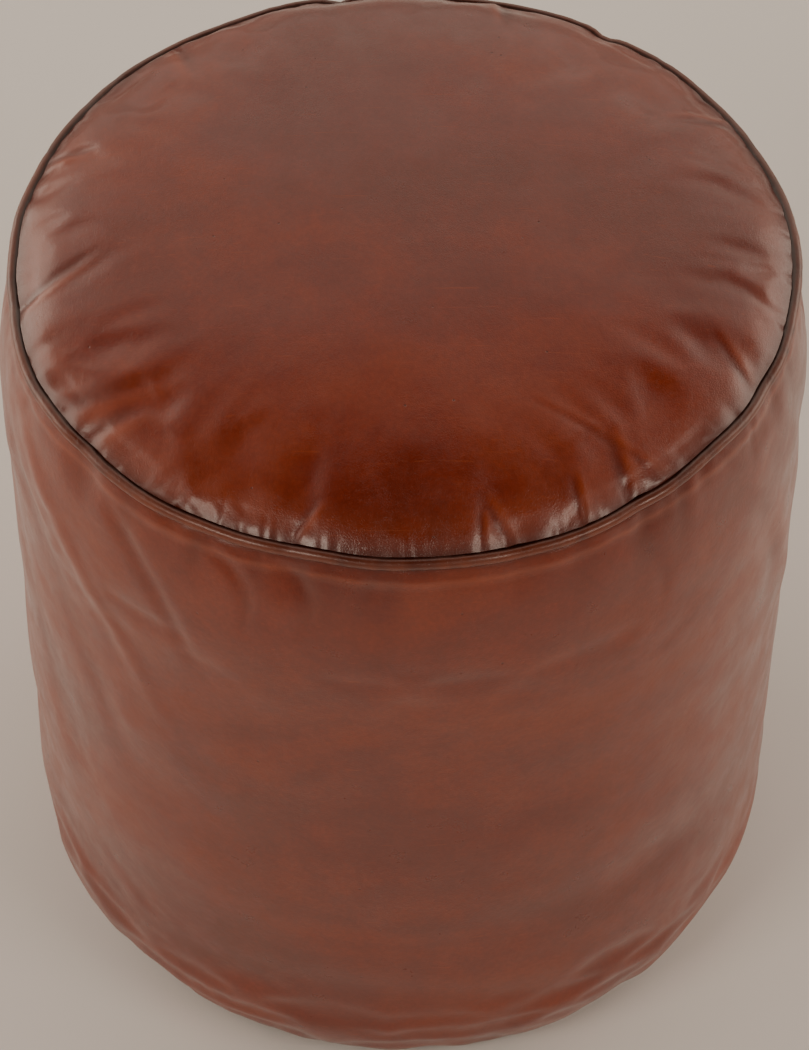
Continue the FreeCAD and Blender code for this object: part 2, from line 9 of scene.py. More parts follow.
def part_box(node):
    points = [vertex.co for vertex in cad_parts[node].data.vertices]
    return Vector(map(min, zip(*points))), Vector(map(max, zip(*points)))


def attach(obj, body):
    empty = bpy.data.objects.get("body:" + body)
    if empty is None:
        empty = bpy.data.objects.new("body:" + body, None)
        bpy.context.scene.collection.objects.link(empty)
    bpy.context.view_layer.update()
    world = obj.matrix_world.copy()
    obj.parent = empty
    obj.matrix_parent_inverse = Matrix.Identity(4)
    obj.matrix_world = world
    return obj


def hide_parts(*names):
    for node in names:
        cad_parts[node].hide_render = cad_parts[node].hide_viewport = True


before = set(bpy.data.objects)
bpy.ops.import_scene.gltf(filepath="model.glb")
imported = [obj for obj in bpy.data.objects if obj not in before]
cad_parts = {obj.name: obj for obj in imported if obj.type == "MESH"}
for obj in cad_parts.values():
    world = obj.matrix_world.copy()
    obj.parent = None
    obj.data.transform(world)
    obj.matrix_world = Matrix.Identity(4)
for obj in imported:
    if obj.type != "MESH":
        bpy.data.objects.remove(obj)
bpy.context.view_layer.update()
bpy.ops.object.select_all(action="DESELECT")


# ------------------------------------------------------------------- top panel
# One round piece of pull-up cowhide, 1.4 mm thick, domed by the stuffing under it.
# It is eased on to a slightly shorter seam line, so that it puckers all round, and its edge dives into the
# seam behind the piping.

LEATHER = 0.0014
SEAM_R = 0.200                                           # the seam line's radius, as cut
SEAM_Z = sum(c[2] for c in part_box("piping_cord")) / 2
TOP_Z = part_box("top_panel")[1][2]
EDGE_IN, EDGE_UP = 0.0006, 0.0031                        # the panel's edge stands on the piping
EDGE_R, EDGE_Z = SEAM_R - EDGE_IN, SEAM_Z + EDGE_UP
BORDER_WIDTH, BORDER_RISE = 0.030, 0.0145                # its steep border
DEEPEST = 0.0025                                         # the liner lies a little further in than this
SWELL = 0.0030                                           # how far the stuffing lifts it at most
PANEL_CELLS = 100
rng = np.random.default_rng(7)


def smooth(edge, across, x):
    """0 before edge, 1 from edge + across on, with a soft rise between."""
    u = np.clip((x - edge) / across, 0.0, 1.0)
    return u * u * (3.0 - 2.0 * u)


def turning(angle, waves):
    """A gentle unevenness round the pouf: a sum of (turns, size, phase)."""
    return sum(size * np.sin(turns * angle + phase) for turns, size, phase in waves)


def seam_line(angle):
    """Radius and height of the sewn line, which wanders a little and is drawn in at its tightest puckers."""
    radius = SEAM_R + turning(angle, [(2, 0.0009, 0.4), (5, 0.0006, 1.9), (11, 0.0004, 0.3),
                                      (23, 0.0002, 2.2)])
    height = SEAM_Z + turning(angle, [(2, 0.0008, 2.6), (3, 0.0010, 0.7), (7, 0.0006, 1.1),
                                      (17, 0.0003, 0.5)])
    for at, width, inward, drop in SEAM_DIPS:
        near = np.exp(-(gap(angle, at) / width) ** 2)
        radius, height = radius - inward * near, height - drop * near
    return radius, height


def gap(angle, degrees):
    """Signed angle from a direction given in degrees, in radians."""
    return (angle - math.radians(degrees) + math.pi) % (2 * math.pi) - math.pi


# Where the seam is pulled in: direction, half width in radians, inward and downward pull.
SEAM_DIPS = [(-141, 0.05, 0.0016, 0.0012), (-106, 0.04, 0.0010, 0.0014), (-75, 0.06, 0.0008, 0.0012),
             (-55, 0.05, 0.0016, 0.0010), (-25, 0.05, 0.0010, 0.0006), (57, 0.03, 0.0020, 0.0016),
             (100, 0.03, 0.0022, 0.0020), (-172, 0.05, 0.0010, 0.0008)]


def gathers(count, narrow, wide, short, long):
    """Puckers spread round a seam: direction, half width, reach from the seam, strength and lean."""
    made = []
    for k in range(count):
        at = 2 * math.pi * (k + rng.uniform(-0.42, 0.42)) / count
        strength = rng.uniform(0.15, 1.0) ** 1.6
        width = rng.uniform(narrow, wide)
        reach = short + (long - short) * strength * rng.uniform(0.6, 1.0)
        made.append((at, width, reach, strength, rng.normal(0.0, 0.22)))
    return made


def pucker(angle, away, radius, folds):
    """Depth, 0 to about 1, of the folds at a place given by its angle and its distance away from the seam."""
    depth = np.zeros_like(angle)
    for at, width, reach, strength, lean in folds:
        across = ((angle - at - lean * away / radius + math.pi) % (2 * math.pi) - math.pi) * radius
        spread = width * (1.0 + 1.6 * away / reach)
        fade = np.clip(1.0 - away / reach, 0.0, 1.0) ** 1.4
        depth += strength * fade * np.exp(-(across / spread) ** 2)
    return depth


def select_none():
    bpy.ops.object.select_all(action="DESELECT")


def open_mesh(piece):
    """Opens one piece in edit mode, with all of it selected."""
    select_none()
    bpy.context.view_layer.objects.active = piece
    piece.select_set(True)
    bpy.ops.object.mode_set(mode="EDIT")
    bpy.ops.mesh.select_all(action="SELECT")


def close_mesh():
    bpy.ops.object.mode_set(mode="OBJECT")


def read(piece):
    """The mesh's points as an array."""
    points = np.empty(len(piece.data.vertices) * 3)
    piece.data.vertices.foreach_get("co", points)
    return points.reshape(-1, 3)


def write(piece, points):
    piece.data.vertices.foreach_set("co", points.ravel())
    piece.data.update()


def polar(points):
    """Angle and radius of points round the pouf's upright axis."""
    return np.arctan2(points[:, 1], points[:, 0]), np.hypot(points[:, 0], points[:, 1])


def write_round(piece, angle, radius, height):
    write(piece, np.column_stack([radius * np.cos(angle), radius * np.sin(angle), height]))


def draw_in(points, angle, inward):
    """Moves points towards the upright axis."""
    points[:, 0] -= inward * np.cos(angle)
    points[:, 1] -= inward * np.sin(angle)


def mark(piece, name, values):
    """Keeps one number for each point, for the material to read."""
    layer = piece.data.attributes.new(name, "FLOAT", "POINT")
    layer.data.foreach_set("value", np.asarray(values, dtype=np.float32))


def apply_all(piece):
    bpy.context.view_layer.objects.active = piece
    for modifier in list(piece.modifiers):
        bpy.ops.object.modifier_apply(modifier=modifier.name)


def stuff(piece, held, growth, pressure, frames, stiffness=30):
    """Cloth simulation: leather a little larger than its start shape is held along its seams, and swells."""
    group = piece.vertex_groups.new(name="sewn")
    group.add([int(i) for i in held], 1.0, "REPLACE")
    cloth = piece.modifiers.new("stuffing", "CLOTH")
    settings = cloth.settings
    settings.quality = 6
    settings.mass = 0.35
    settings.tension_stiffness = settings.compression_stiffness = stiffness
    settings.shear_stiffness = stiffness / 2
    settings.bending_stiffness = 1.2
    settings.tension_damping = settings.compression_damping = 15
    settings.air_damping = 4
    settings.vertex_group_mass = "sewn"
    settings.use_pressure = True
    settings.uniform_pressure_force = pressure
    settings.shrink_min = settings.shrink_max = -growth
    settings.effector_weights.gravity = 0.0
    cloth.collision_settings.use_collision = False
    cloth.point_cache.frame_end = frames
    for number in range(1, frames + 1):
        bpy.context.scene.frame_set(number)
    apply_all(piece)
    piece.vertex_groups.clear()


def soft_round(piece, levels):
    modifier = piece.modifiers.new("rounding", "SUBSURF")
    modifier.levels = modifier.render_levels = levels
    apply_all(piece)


def crown(radius):
    """Height of the panel at a radius: a wide arc over the middle and a tight one, tangent to it, outside."""
    join_r, join_z = EDGE_R - BORDER_WIDTH, EDGE_Z + BORDER_RISE
    wide = (join_r ** 2 + (TOP_Z - join_z) ** 2) / (2 * (TOP_Z - join_z))
    fall = join_z - (TOP_Z - wide)
    tight = (BORDER_WIDTH ** 2 + BORDER_RISE ** 2) * wide / (2 * (BORDER_RISE * fall - BORDER_WIDTH * join_r))
    centre_r, centre_z = join_r * (1 - tight / wide), join_z - tight * fall / wide
    middle = TOP_Z - wide + np.sqrt(wide ** 2 - np.minimum(radius, join_r) ** 2)
    border = centre_z + np.sqrt(np.maximum(tight ** 2 - (radius - centre_r) ** 2, 0.0))
    return np.where(radius < join_r, middle, border)


def too_deep(depth):
    """How much of a depth has to be given back, so that the leather stays clear of the liner."""
    return depth - np.where(depth > 0, DEEPEST * np.tanh(depth / DEEPEST), depth)


select_none()
bpy.ops.mesh.primitive_grid_add(x_subdivisions=PANEL_CELLS, y_subdivisions=PANEL_CELLS, size=2.0)
top = bpy.context.object
top.name = "top_leather"
square = read(top)
u, v = square[:, 0], square[:, 1]
disc_x, disc_y = u * np.sqrt(1 - v * v / 2), v * np.sqrt(1 - u * u / 2)
angle = np.arctan2(disc_y, disc_x)
share = np.hypot(disc_x, disc_y)
edge_r, edge_z = seam_line(angle)
edge_r = edge_r - SEAM_R + EDGE_R
height = EDGE_Z + 0.92 * (crown(share * EDGE_R) - EDGE_Z) + (edge_z - SEAM_Z) * share ** 6
write_round(top, angle, share * edge_r, height)
stuff(top, np.flatnonzero(share > 0.999), growth=0.007, pressure=2.0, frames=22)
soft_round(top, 1)

points = read(top)
angle, radius = polar(points)
away = np.clip(seam_line(angle)[0] - EDGE_IN - radius, 0.0, None)
to_front = 0.5 - 0.5 * np.sin(angle)
broad = pucker(angle, away, SEAM_R, gathers(78, narrow=0.0026, wide=0.0075, short=0.008, long=0.058))
fine = pucker(angle, away, SEAM_R, gathers(120, narrow=0.0010, wide=0.0020, short=0.004, long=0.022))
folded = (broad + (0.25 + 0.40 * to_front) * fine) * (0.55 + 0.45 * to_front)

# Larger folds in the panel: direction, how far in from the seam they begin and end, sideways run, half width
# and depth.
TOP_FOLDS = [(-142, 0.001, 0.034, 0.012, 0.0046, 0.0013), (-148, 0.002, 0.060, 0.026, 0.0060, 0.0007),
             (-56, 0.001, 0.040, 0.012, 0.0034, 0.0014), (-50, 0.002, 0.078, -0.030, 0.0022, 0.0007),
             (-64, 0.001, 0.026, 0.006, 0.0022, 0.0012), (-75, 0.001, 0.030, -0.010, 0.0024, 0.0012),
             (-79, 0.002, 0.024, 0.004, 0.0020, 0.0009), (-106, 0.001, 0.024, 0.010, 0.0024, 0.0011),
             (-28, 0.002, 0.034, 0.018, 0.0030, 0.0012), (-170, 0.002, 0.050, -0.020, 0.0036, 0.0012),
             (28, 0.002, 0.040, 0.012, 0.0034, 0.0011), (74, 0.002, 0.036, -0.012, 0.0032, 0.0012),
             (128, 0.002, 0.046, 0.016, 0.0036, 0.0012), (160, 0.002, 0.030, -0.010, 0.0030, 0.0010)]


def long_fold(angle, away, around, at, start, end, run, width):
    """A fold that runs in from the seam at a slant: 1 in its middle, fading to its ends and sides."""
    along = np.clip((away - start) / (end - start), 0.0, 1.0)
    across = gap(angle, at) * around - run * along
    fading = 0.6 * (end - start)
    ends = smooth(start - 0.003, 0.004, away) * (1.0 - smooth(end - fading, fading, away))
    return ends * np.exp(-(across / width) ** 2)


creased = np.zeros_like(angle)
for at, start, end, run, width, depth in TOP_FOLDS:
    valley = long_fold(angle, away, radius, at, start, end, run, width)
    ridge = long_fold(angle, away, radius, at + math.degrees(width * 1.7 / SEAM_R), start, end, run, width)
    creased += (valley - 0.8 * ridge) * depth / 0.0018
slack = np.array([noise.noise(p) for p in (Vector(q) * 14.0 for q in points)])
billow = np.array([noise.noise((math.cos(a) * 7.5, math.sin(a) * 7.5, 0.4)) for a in angle])
smooth_top = crown(np.minimum(radius, EDGE_R))
swelling = points[:, 2] - smooth_top
points[:, 2] += SWELL * np.tanh(swelling / SWELL) - swelling
points[:, 2] += (0.0009 * slack * smooth(0.0, 0.03, away) + 0.0018 * billow * smooth(0.0, 0.012, away)
                 * np.exp(-away / 0.030) - 0.0012 * folded - 0.0013 * creased)
points[:, 2] += too_deep(smooth_top - points[:, 2]) * (1 - smooth(0.187, 0.004, radius))
draw_in(points, angle, 0.0007 * folded * np.exp(-away / 0.012))
write(top, points)
# Painted shade in the pucker and fold valleys (crease) and by the piping, with some burnish (seam); a painted
# highlight on the fold ridges and in a band about 10 mm in from the seam (rub).
mark(top, "crease", np.clip(0.7 * folded + creased, 0, 1))
mark(top, "rub_and_highlight", np.clip(-creased * 1.3 + 0.35 * np.exp(-((away - 0.010) / 0.008) ** 2), 0, 1))
mark(top, "seam", np.exp(-away / 0.0045))


def turn_in(piece, chosen, steps):
    """Carries the chosen open edges on, by a list of (inward, up) steps, to the seam's hidden side."""
    open_mesh(piece)
    bpy.ops.mesh.select_mode(type="EDGE")
    bpy.ops.mesh.select_all(action="DESELECT")
    mesh = bmesh.from_edit_mesh(piece.data)
    for edge in mesh.edges:
        if edge.is_boundary and chosen(edge.verts[0].co) and chosen(edge.verts[1].co):
            edge.select_set(True)
    for inward, up in steps:
        bpy.ops.mesh.extrude_edges_move()
        mesh = bmesh.from_edit_mesh(piece.data)
        for vert in (v for v in mesh.verts if v.select):
            flat_r = math.hypot(vert.co.x, vert.co.y)
            vert.co.x -= inward * vert.co.x / flat_r
            vert.co.y -= inward * vert.co.y / flat_r
            vert.co.z += up
        bmesh.update_edit_mesh(piece.data)
    close_mesh()


def shade(piece, degrees):
    """Smooth shading, with the edges sharper than an angle left crisp."""
    select_none()
    piece.select_set(True)
    bpy.ops.object.shade_smooth_by_angle(angle=math.radians(degrees))


def thicken(piece):
    """Gives a sheet of leather its thickness, on the inside, with its faces outwards."""
    modifier = piece.modifiers.new("thickness", "SOLIDIFY")
    modifier.thickness = LEATHER
    modifier.offset = -1.0
    apply_all(piece)
    shade(piece, 50)


turn_in(top, lambda p: True, [(0.0003, -0.0009), (0.0006, -0.0008), (0.0012, -0.0003), (0.0040, 0.0)])
thicken(top)

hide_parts("top_panel")
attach(top, "pouf")


def node(tree, kind, settings=None, **values):
    """Adds a node, sets its properties and gives its inputs their values or links."""
    made = tree.nodes.new(kind)
    for name, setting in (settings or {}).items():
        setattr(made, name, setting)
    for name, given in values.items():
        numbered = name[0] == "i" and name[1:].isdigit()
        feed(tree, given, made.inputs[int(name[1:]) if numbered else name.replace("_", " ")])
    return made


def feed(tree, given, socket):
    """Links or sets one input."""
    if isinstance(given, bpy.types.NodeSocket):
        tree.links.new(given, socket)
    else:
        socket.default_value = given


def maths(tree, operation, a, b=0.0, clamp=False):
    return node(tree, "ShaderNodeMath", {"operation": operation, "use_clamp": clamp}, i0=a, i1=b).outputs[0]


def times(tree, a, b):
    return maths(tree, "MULTIPLY", a, b)


def plus(tree, a, b):
    return maths(tree, "ADD", a, b)


def noisy(tree, place, scale, **values):
    """Cloudy noise, from about 0.2 to 0.8."""
    return node(tree, "ShaderNodeTexNoise", Vector=place, Scale=scale, **values).outputs[0]


def ramp(tree, value, low, high, to_low=0.0, to_high=1.0):
    """Value carried from low..high to to_low..to_high, with soft ends."""
    return node(tree, "ShaderNodeMapRange", {"interpolation_type": "SMOOTHSTEP"}, Value=value, From_Min=low,
                From_Max=high, To_Min=to_low, To_Max=to_high).outputs[0]


def mix(tree, share, a, b, how="MIX"):
    made = tree.nodes.new("ShaderNodeMix")
    made.data_type, made.blend_type = "RGBA", how
    for given, socket in ((share, 0), (a, 6), (b, 7)):
        feed(tree, given, made.inputs[socket])
    return made.outputs[2]


def toned(tree, colour, tone):
    """A colour made darker or lighter by a value."""
    grey = node(tree, "ShaderNodeCombineColor", Red=tone, Green=tone, Blue=tone).outputs[0]
    return mix(tree, 1.0, colour, grey, "MULTIPLY")


def emboss(tree, shader, height):
    """Relief, its height in metres."""
    bump = node(tree, "ShaderNodeBump", Strength=1.0, Distance=1.0, Height=height)
    tree.links.new(bump.outputs["Normal"], shader.inputs["Normal"])


def group(name, inputs, outputs):
    """An empty node group. inputs: name to default, a number or a colour. outputs: name to socket type."""
    tree = bpy.data.node_groups.new(name, "ShaderNodeTree")
    for label, default in inputs.items():
        kind = "NodeSocketFloat" if isinstance(default, (int, float)) else "NodeSocketColor"
        kind = "NodeSocketVector" if isinstance(default, str) else kind
        socket = tree.interface.new_socket(label, in_out="INPUT", socket_type=kind)
        if not isinstance(default, str):
            socket.default_value = default
    for label, kind in outputs.items():
        tree.interface.new_socket(label, in_out="OUTPUT", socket_type=kind)
    return tree, tree.nodes.new("NodeGroupInput"), tree.nodes.new("NodeGroupOutput")


def use(tree, group_tree, **values):
    made = tree.nodes.new("ShaderNodeGroup")
    made.node_tree = group_tree
    for name, given in values.items():
        feed(tree, given, made.inputs[name])
    return made


def plain(name, rough):
    """A new material with its tree, its shader and the place it is read at."""
    made = bpy.data.materials.new(name)
    made.use_nodes = True
    shader = made.node_tree.nodes["Principled BSDF"]
    shader.inputs["Roughness"].default_value = rough
    return made, made.node_tree, shader, node(made.node_tree, "ShaderNodeTexCoord").outputs["Object"]


PIT_DEPTH = 0.00025


def grain_group():
    """Height of the hide's grain, in metres: pebbles, fine pores, short wrinkles and a slow unevenness."""
    tree, into, out = group("hide grain",
                            {"Place": "vector", "Pebble": 0.0, "Wrinkle": 0.0, "Unevenness": 0.0},
                            {"Height": "NodeSocketFloat", "Pits": "NodeSocketFloat"})
    place = into.outputs["Place"]
    warp = node(tree, "ShaderNodeTexNoise", Vector=place, Scale=260.0, Detail=2.0).outputs["Color"]
    warped = node(tree, "ShaderNodeMix", {"data_type": "VECTOR"}, i0=0.0030, i4=place, i5=warp).outputs[1]
    pebbles = node(tree, "ShaderNodeTexVoronoi", {"feature": "DISTANCE_TO_EDGE"}, Vector=warped, Scale=760.0)
    patches = ramp(tree, noisy(tree, place, 18.0, Detail=2.0), 0.35, 0.65, 0.35, 1.0)
    pebble = times(tree, ramp(tree, pebbles.outputs["Distance"], 0.0, 0.22), patches)
    stretch = node(tree, "ShaderNodeMapping", Vector=place, Rotation=(0.4, 0.7, 0.5), Scale=(1.0, 0.35, 1.0))
    wrinkle = ramp(tree, noisy(tree, stretch.outputs[0], 240.0, Detail=5.0, Roughness=0.60, Distortion=0.4),
                   0.36, 0.58)
    pits = node(tree, "ShaderNodeTexVoronoi", Vector=place, Scale=115.0, Randomness=1.0)
    lone = ramp(tree, noisy(tree, place, 30.0), 0.60, 0.68)
    pit = times(tree, ramp(tree, pits.outputs["Distance"], 0.045, 0.10, 1.0, 0.0), lone)
    height = times(tree, pebble, into.outputs["Pebble"])
    height = plus(tree, height, times(tree, wrinkle, into.outputs["Wrinkle"]))
    slow = noisy(tree, place, 26.0, Detail=3.0, Roughness=0.5)
    height = plus(tree, height, times(tree, slow, into.outputs["Unevenness"]))
    height = maths(tree, "SUBTRACT", height, times(tree, pit, PIT_DEPTH))
    tree.links.new(height, out.inputs["Height"])
    tree.links.new(pit, out.inputs["Pits"])
    return tree


SCRATCH_LENGTH = 70                                      # times its width


def pull_up_group():
    """Colour of waxed pull-up leather: darker where the wax lies deep, lighter where it is stretched or
    rubbed, with faint scratches; painted shade, with some burnish, darker in creases and by the seams, darker
    in the pits, and a painted highlight on fold ridges and seam edges. Also how much the wax is worn, for the
    gloss."""
    black = (0, 0, 0, 1)
    tree, into, out = group("pull-up colour",
                            {"Place": "vector", "Deep": black, "Body": black, "Light": black,
                             "Crease": 0.0, "Rub": 0.0, "Seam": 0.0, "Pits": 0.0, "Scratches": 0.5},
                            {"Color": "NodeSocketColor", "Worn": "NodeSocketFloat"})
    place, deep, body, light = (into.outputs[label] for label in ("Place", "Deep", "Body", "Light"))
    level = node(tree, "ShaderNodeMapping", Vector=place, Scale=(1.0, 1.0, 2.3)).outputs[0]
    cloud = noisy(tree, level, 4.6, Detail=5.0, Roughness=0.55, Distortion=0.6)
    mottle = noisy(tree, place, 38.0, Detail=6.0, Roughness=0.68)
    lighter = ramp(tree, plus(tree, cloud, times(tree, mottle, 0.55)), 0.70, 1.02)
    darker = ramp(tree, plus(tree, cloud, times(tree, mottle, 0.5)), 0.82, 0.52)
    colour = mix(tree, times(tree, lighter, 0.30), body, light)
    colour = mix(tree, times(tree, darker, 0.34), colour, deep)
    colour = toned(tree, colour, ramp(tree, noisy(tree, place, 420.0, Detail=2.0), 0.35, 0.7, 0.93, 1.06))
    scratch = None
    for turn, scale in ((0.5, 9.0), (1.9, 11.0), (2.7, 8.0)):
        lean = node(tree, "ShaderNodeMapping", Vector=place, Rotation=(0.3, 0.2, turn),
                    Scale=(scale, scale * SCRATCH_LENGTH, scale * SCRATCH_LENGTH)).outputs[0]
        line = ramp(tree, noisy(tree, lean, 1.0, Detail=1.0, Distortion=0.15), 0.745, 0.77)
        scratch = line if scratch is None else maths(tree, "MAXIMUM", scratch, line)
    scratch = times(tree, scratch, into.outputs["Scratches"])
    colour = mix(tree, times(tree, scratch, 0.5), colour, light)
    # Lighter where rubbed, and a painted highlight on fold ridges, seam edges and the piping's top and outer
    # side.
    colour = mix(tree, times(tree, into.outputs["Rub"], 0.6), colour, light)
    # Painted shade, with some burnish, in creases and by the seams, and darker in the pits.
    shade_burnish_and_pits = maths(tree, "MAXIMUM", times(tree, into.outputs["Crease"], 0.55),
                  times(tree, into.outputs["Seam"], 0.8))
    shade_burnish_and_pits = maths(tree, "MAXIMUM", shade_burnish_and_pits, times(tree, into.outputs["Pits"], 0.7), clamp=True)
    colour = mix(tree, shade_burnish_and_pits, colour, deep)
    worn = maths(tree, "MAXIMUM", times(tree, lighter, 0.6), scratch, clamp=True)
    tree.links.new(colour, out.inputs["Color"])
    tree.links.new(worn, out.inputs["Worn"])
    return tree


HIDE_GRAIN = grain_group()
PULL_UP = pull_up_group()


def cowhide(name, deep, body, light, rough=0.33, wax=0.45, scratches=0.5, pebble=0.00005, wrinkle=0.00003,
            uneven=0.0005):
    """Waxed and polished cowhide. deep, body and light are its three browns; the relief is in metres."""
    made, tree, shader, place = plain(name, rough)
    felt = {label: node(tree, "ShaderNodeAttribute", {"attribute_name": label}).outputs["Fac"]
            for label in ("crease", "rub_and_highlight", "seam")}
    grain = use(tree, HIDE_GRAIN, Place=place, Pebble=pebble, Wrinkle=wrinkle, Unevenness=uneven)
    skin = use(tree, PULL_UP, Place=place, Deep=(*deep, 1), Body=(*body, 1), Light=(*light, 1),
               Crease=felt["crease"], Rub=felt["rub_and_highlight"], Seam=felt["seam"], Pits=grain.outputs["Pits"],
               Scratches=scratches)
    tree.links.new(skin.outputs["Color"], shader.inputs["Base Color"])
    worn = skin.outputs["Worn"]
    gloss = noisy(tree, place, 55.0, Detail=4.0, Roughness=0.6)
    rough_now = plus(tree, ramp(tree, gloss, 0.3, 0.7, rough - 0.06, rough + 0.06), times(tree, worn, 0.10))
    tree.links.new(rough_now, shader.inputs["Roughness"])
    waxed = maths(tree, "SUBTRACT", wax, times(tree, worn, wax * 0.5))
    tree.links.new(waxed, shader.inputs["Coat Weight"])
    shader.inputs["Coat Roughness"].default_value = 0.21
    shader.inputs["Specular IOR Level"].default_value = 0.55
    emboss(tree, shader, grain.outputs["Height"])
    return made


def give(piece, material):
    piece.data.materials.clear()
    piece.data.materials.append(material)


# The top and the wall are the same hide: the top's browns are painted darker and the wall's lighter, as
# painted light and shade for how each is lit.
give(top, cowhide("waxed brown cowhide", (0.052, 0.0055, 0.0010), (0.148, 0.0130, 0.0014),
                  (0.30, 0.052, 0.010)))


# ------------------------------------------------------------------------ wall
# Two half-round pieces of the same cowhide, sewn together up the two sides and eased on to both rims: fine
# puckers under the piping, wider ones where the wall rolls in to the base.

BELLY_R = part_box("side_panel_back")[1][1]
BASE_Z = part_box("side_panel_back")[0][2]
BASE_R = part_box("base_panel_back")[1][0]
PIPING_HALF = 0.0030
WALL_TOP = SEAM_Z - PIPING_HALF                          # the wall meets the piping here
SHOULDER_DROP, ROLL_HEIGHT = 0.075, 0.062                # the arcs above and below the straight part
AROUND, UP = 256, 90
ALLOWANCE = 0.0098                                       # the edge of the seam allowance shows through
PRESS = 0.0045                                           # how near a side seam the wall is drawn in


def arc_in(run, rise, at):
    """How far an arc has left the straight wall at a distance along. It leaves it by rise over run."""
    radius = (run * run + rise * rise) / (2 * rise)
    return radius - np.sqrt(np.maximum(radius * radius - at * at, 0.0))


def wall_radius(z):
    """The wall's radius at a height, from the straight part and the arcs that carry it in to both seams."""
    above = np.clip(z - (WALL_TOP - SHOULDER_DROP), 0.0, None)
    below = np.clip(ROLL_HEIGHT - z, 0.0, None)
    return (BELLY_R - arc_in(SHOULDER_DROP, BELLY_R - SEAM_R, above)
            - arc_in(ROLL_HEIGHT - BASE_Z, BELLY_R - BASE_R, below))


def base_line(angle):
    """Radius and height of the base seam, which is gathered more loosely than the top one."""
    radius = BASE_R + turning(angle, [(3, 0.0008, 1.2), (8, 0.0009, 0.2), (19, 0.0007, 1.4),
                                      (31, 0.0005, 0.9)])
    height = BASE_Z + turning(angle, [(7, 0.0002, 0.8)]) + 0.0002
    return radius, height


# The same hide as the top with lighter browns: a copy painted lighter for the less lit wall.
wall_hide_painted_lighter = cowhide("waxed brown cowhide, wall, painted lighter", (0.062, 0.0070, 0.0013), (0.182, 0.0205, 0.0030),
                    (0.33, 0.064, 0.015))
select_none()
bpy.ops.mesh.primitive_grid_add(x_subdivisions=AROUND, y_subdivisions=UP, size=2.0)
wall = bpy.context.object
wall.name = "wall_leather"
flat = read(wall)
angle = (flat[:, 0] + 1.0) * math.pi
share = (flat[:, 1] + 1.0) / 2
height = BASE_Z + share * (WALL_TOP - BASE_Z)
top_r, top_z = seam_line(angle)
low_r, low_z = base_line(angle)
to_top, to_base = smooth(0.72, 0.28, share), 1.0 - smooth(0.0, 0.10, share)
slim = 0.003 * np.sin(share * math.pi) ** 0.5
radius = wall_radius(height) - slim + to_top * (top_r - SEAM_R) + to_base * (low_r - BASE_R)
height = height + to_top * (top_z - SEAM_Z) + to_base * (low_z - BASE_Z)
write_round(wall, angle, radius, height)
open_mesh(wall)
bpy.ops.mesh.remove_doubles(threshold=0.0001)
bpy.ops.mesh.normals_make_consistent(inside=False)
close_mesh()
loose = bmesh.new()
loose.from_mesh(wall.data)
sewn = [v.index for v in loose.verts if v.is_boundary]
loose.free()
stuff(wall, sewn, growth=0.010, pressure=2.2, frames=20)
soft_round(wall, 1)

points = read(wall)
angle, radius = polar(points)
from_top = np.clip(seam_line(angle)[1] - PIPING_HALF - points[:, 2], 0.0, None)
rolled = np.clip(radius - BASE_R, 0.0, None) * (points[:, 2] < 0.1)
from_base = np.clip(points[:, 2] - BASE_Z, 0.0, None) + rolled
under_piping = pucker(angle, from_top, SEAM_R,
                      gathers(120, narrow=0.0014, wide=0.0055, short=0.010, long=0.075))
at_base = pucker(angle, from_base, BASE_R, gathers(64, narrow=0.004, wide=0.011, short=0.020, long=0.110))

# Long soft folds: the two ends as direction and height, half width, and depth (a ridge where it is negative).
WALL_FOLDS = [((-166, 0.400), (-136, 0.250), 0.010, 0.0026), ((-160, 0.425), (-128, 0.300), 0.008, -0.0016),
              ((-172, 0.340), (-146, 0.170), 0.014, 0.0028), ((-138, 0.436), (-120, 0.350), 0.006, 0.0015),
              ((-118, 0.440), (-112, 0.395), 0.004, 0.0016), ((-108, 0.442), (-104, 0.400), 0.004, 0.0014),
              ((-42, 0.430), (-22, 0.300), 0.010, 0.0022), ((-34, 0.400), (-12, 0.230), 0.012, -0.0020),
              ((-18, 0.420), (-2, 0.280), 0.009, 0.0020), ((-60, 0.438), (-52, 0.380), 0.005, 0.0014),
              ((-125, 0.085), (-60, 0.070), 0.014, 0.0016), ((-60, 0.150), (-20, 0.125), 0.016, 0.0018),
              ((-30, 0.075), (10, 0.100), 0.014, 0.0020), ((-160, 0.100), (-132, 0.065), 0.012, 0.0020),
              ((30, 0.420), (55, 0.280), 0.010, 0.0022), ((70, 0.430), (62, 0.300), 0.010, 0.0018),
              ((110, 0.410), (135, 0.260), 0.012, 0.0024), ((150, 0.150), (200, 0.120), 0.016, 0.0020)]


def fold_depth(angle, z, first, last, width):
    """1 along the middle of a fold between two places on the wall, fading to its sides and ends."""
    ax, ay = gap(angle, first[0]) * BELLY_R, z - first[1]
    turn = (math.radians(last[0] - first[0]) + math.pi) % (2 * math.pi) - math.pi
    dx, dy = turn * BELLY_R, last[1] - first[1]
    length = math.hypot(dx, dy)
    along, across = (ax * dx + ay * dy) / length, (ax * dy - ay * dx) / length
    bend = across + 0.012 * np.sin(math.pi * np.clip(along / length, 0, 1))
    ends = smooth(-0.2 * length, 0.5 * length, along) * (1 - smooth(0.7 * length, 0.5 * length, along))
    return ends * np.exp(-(bend / width) ** 2)


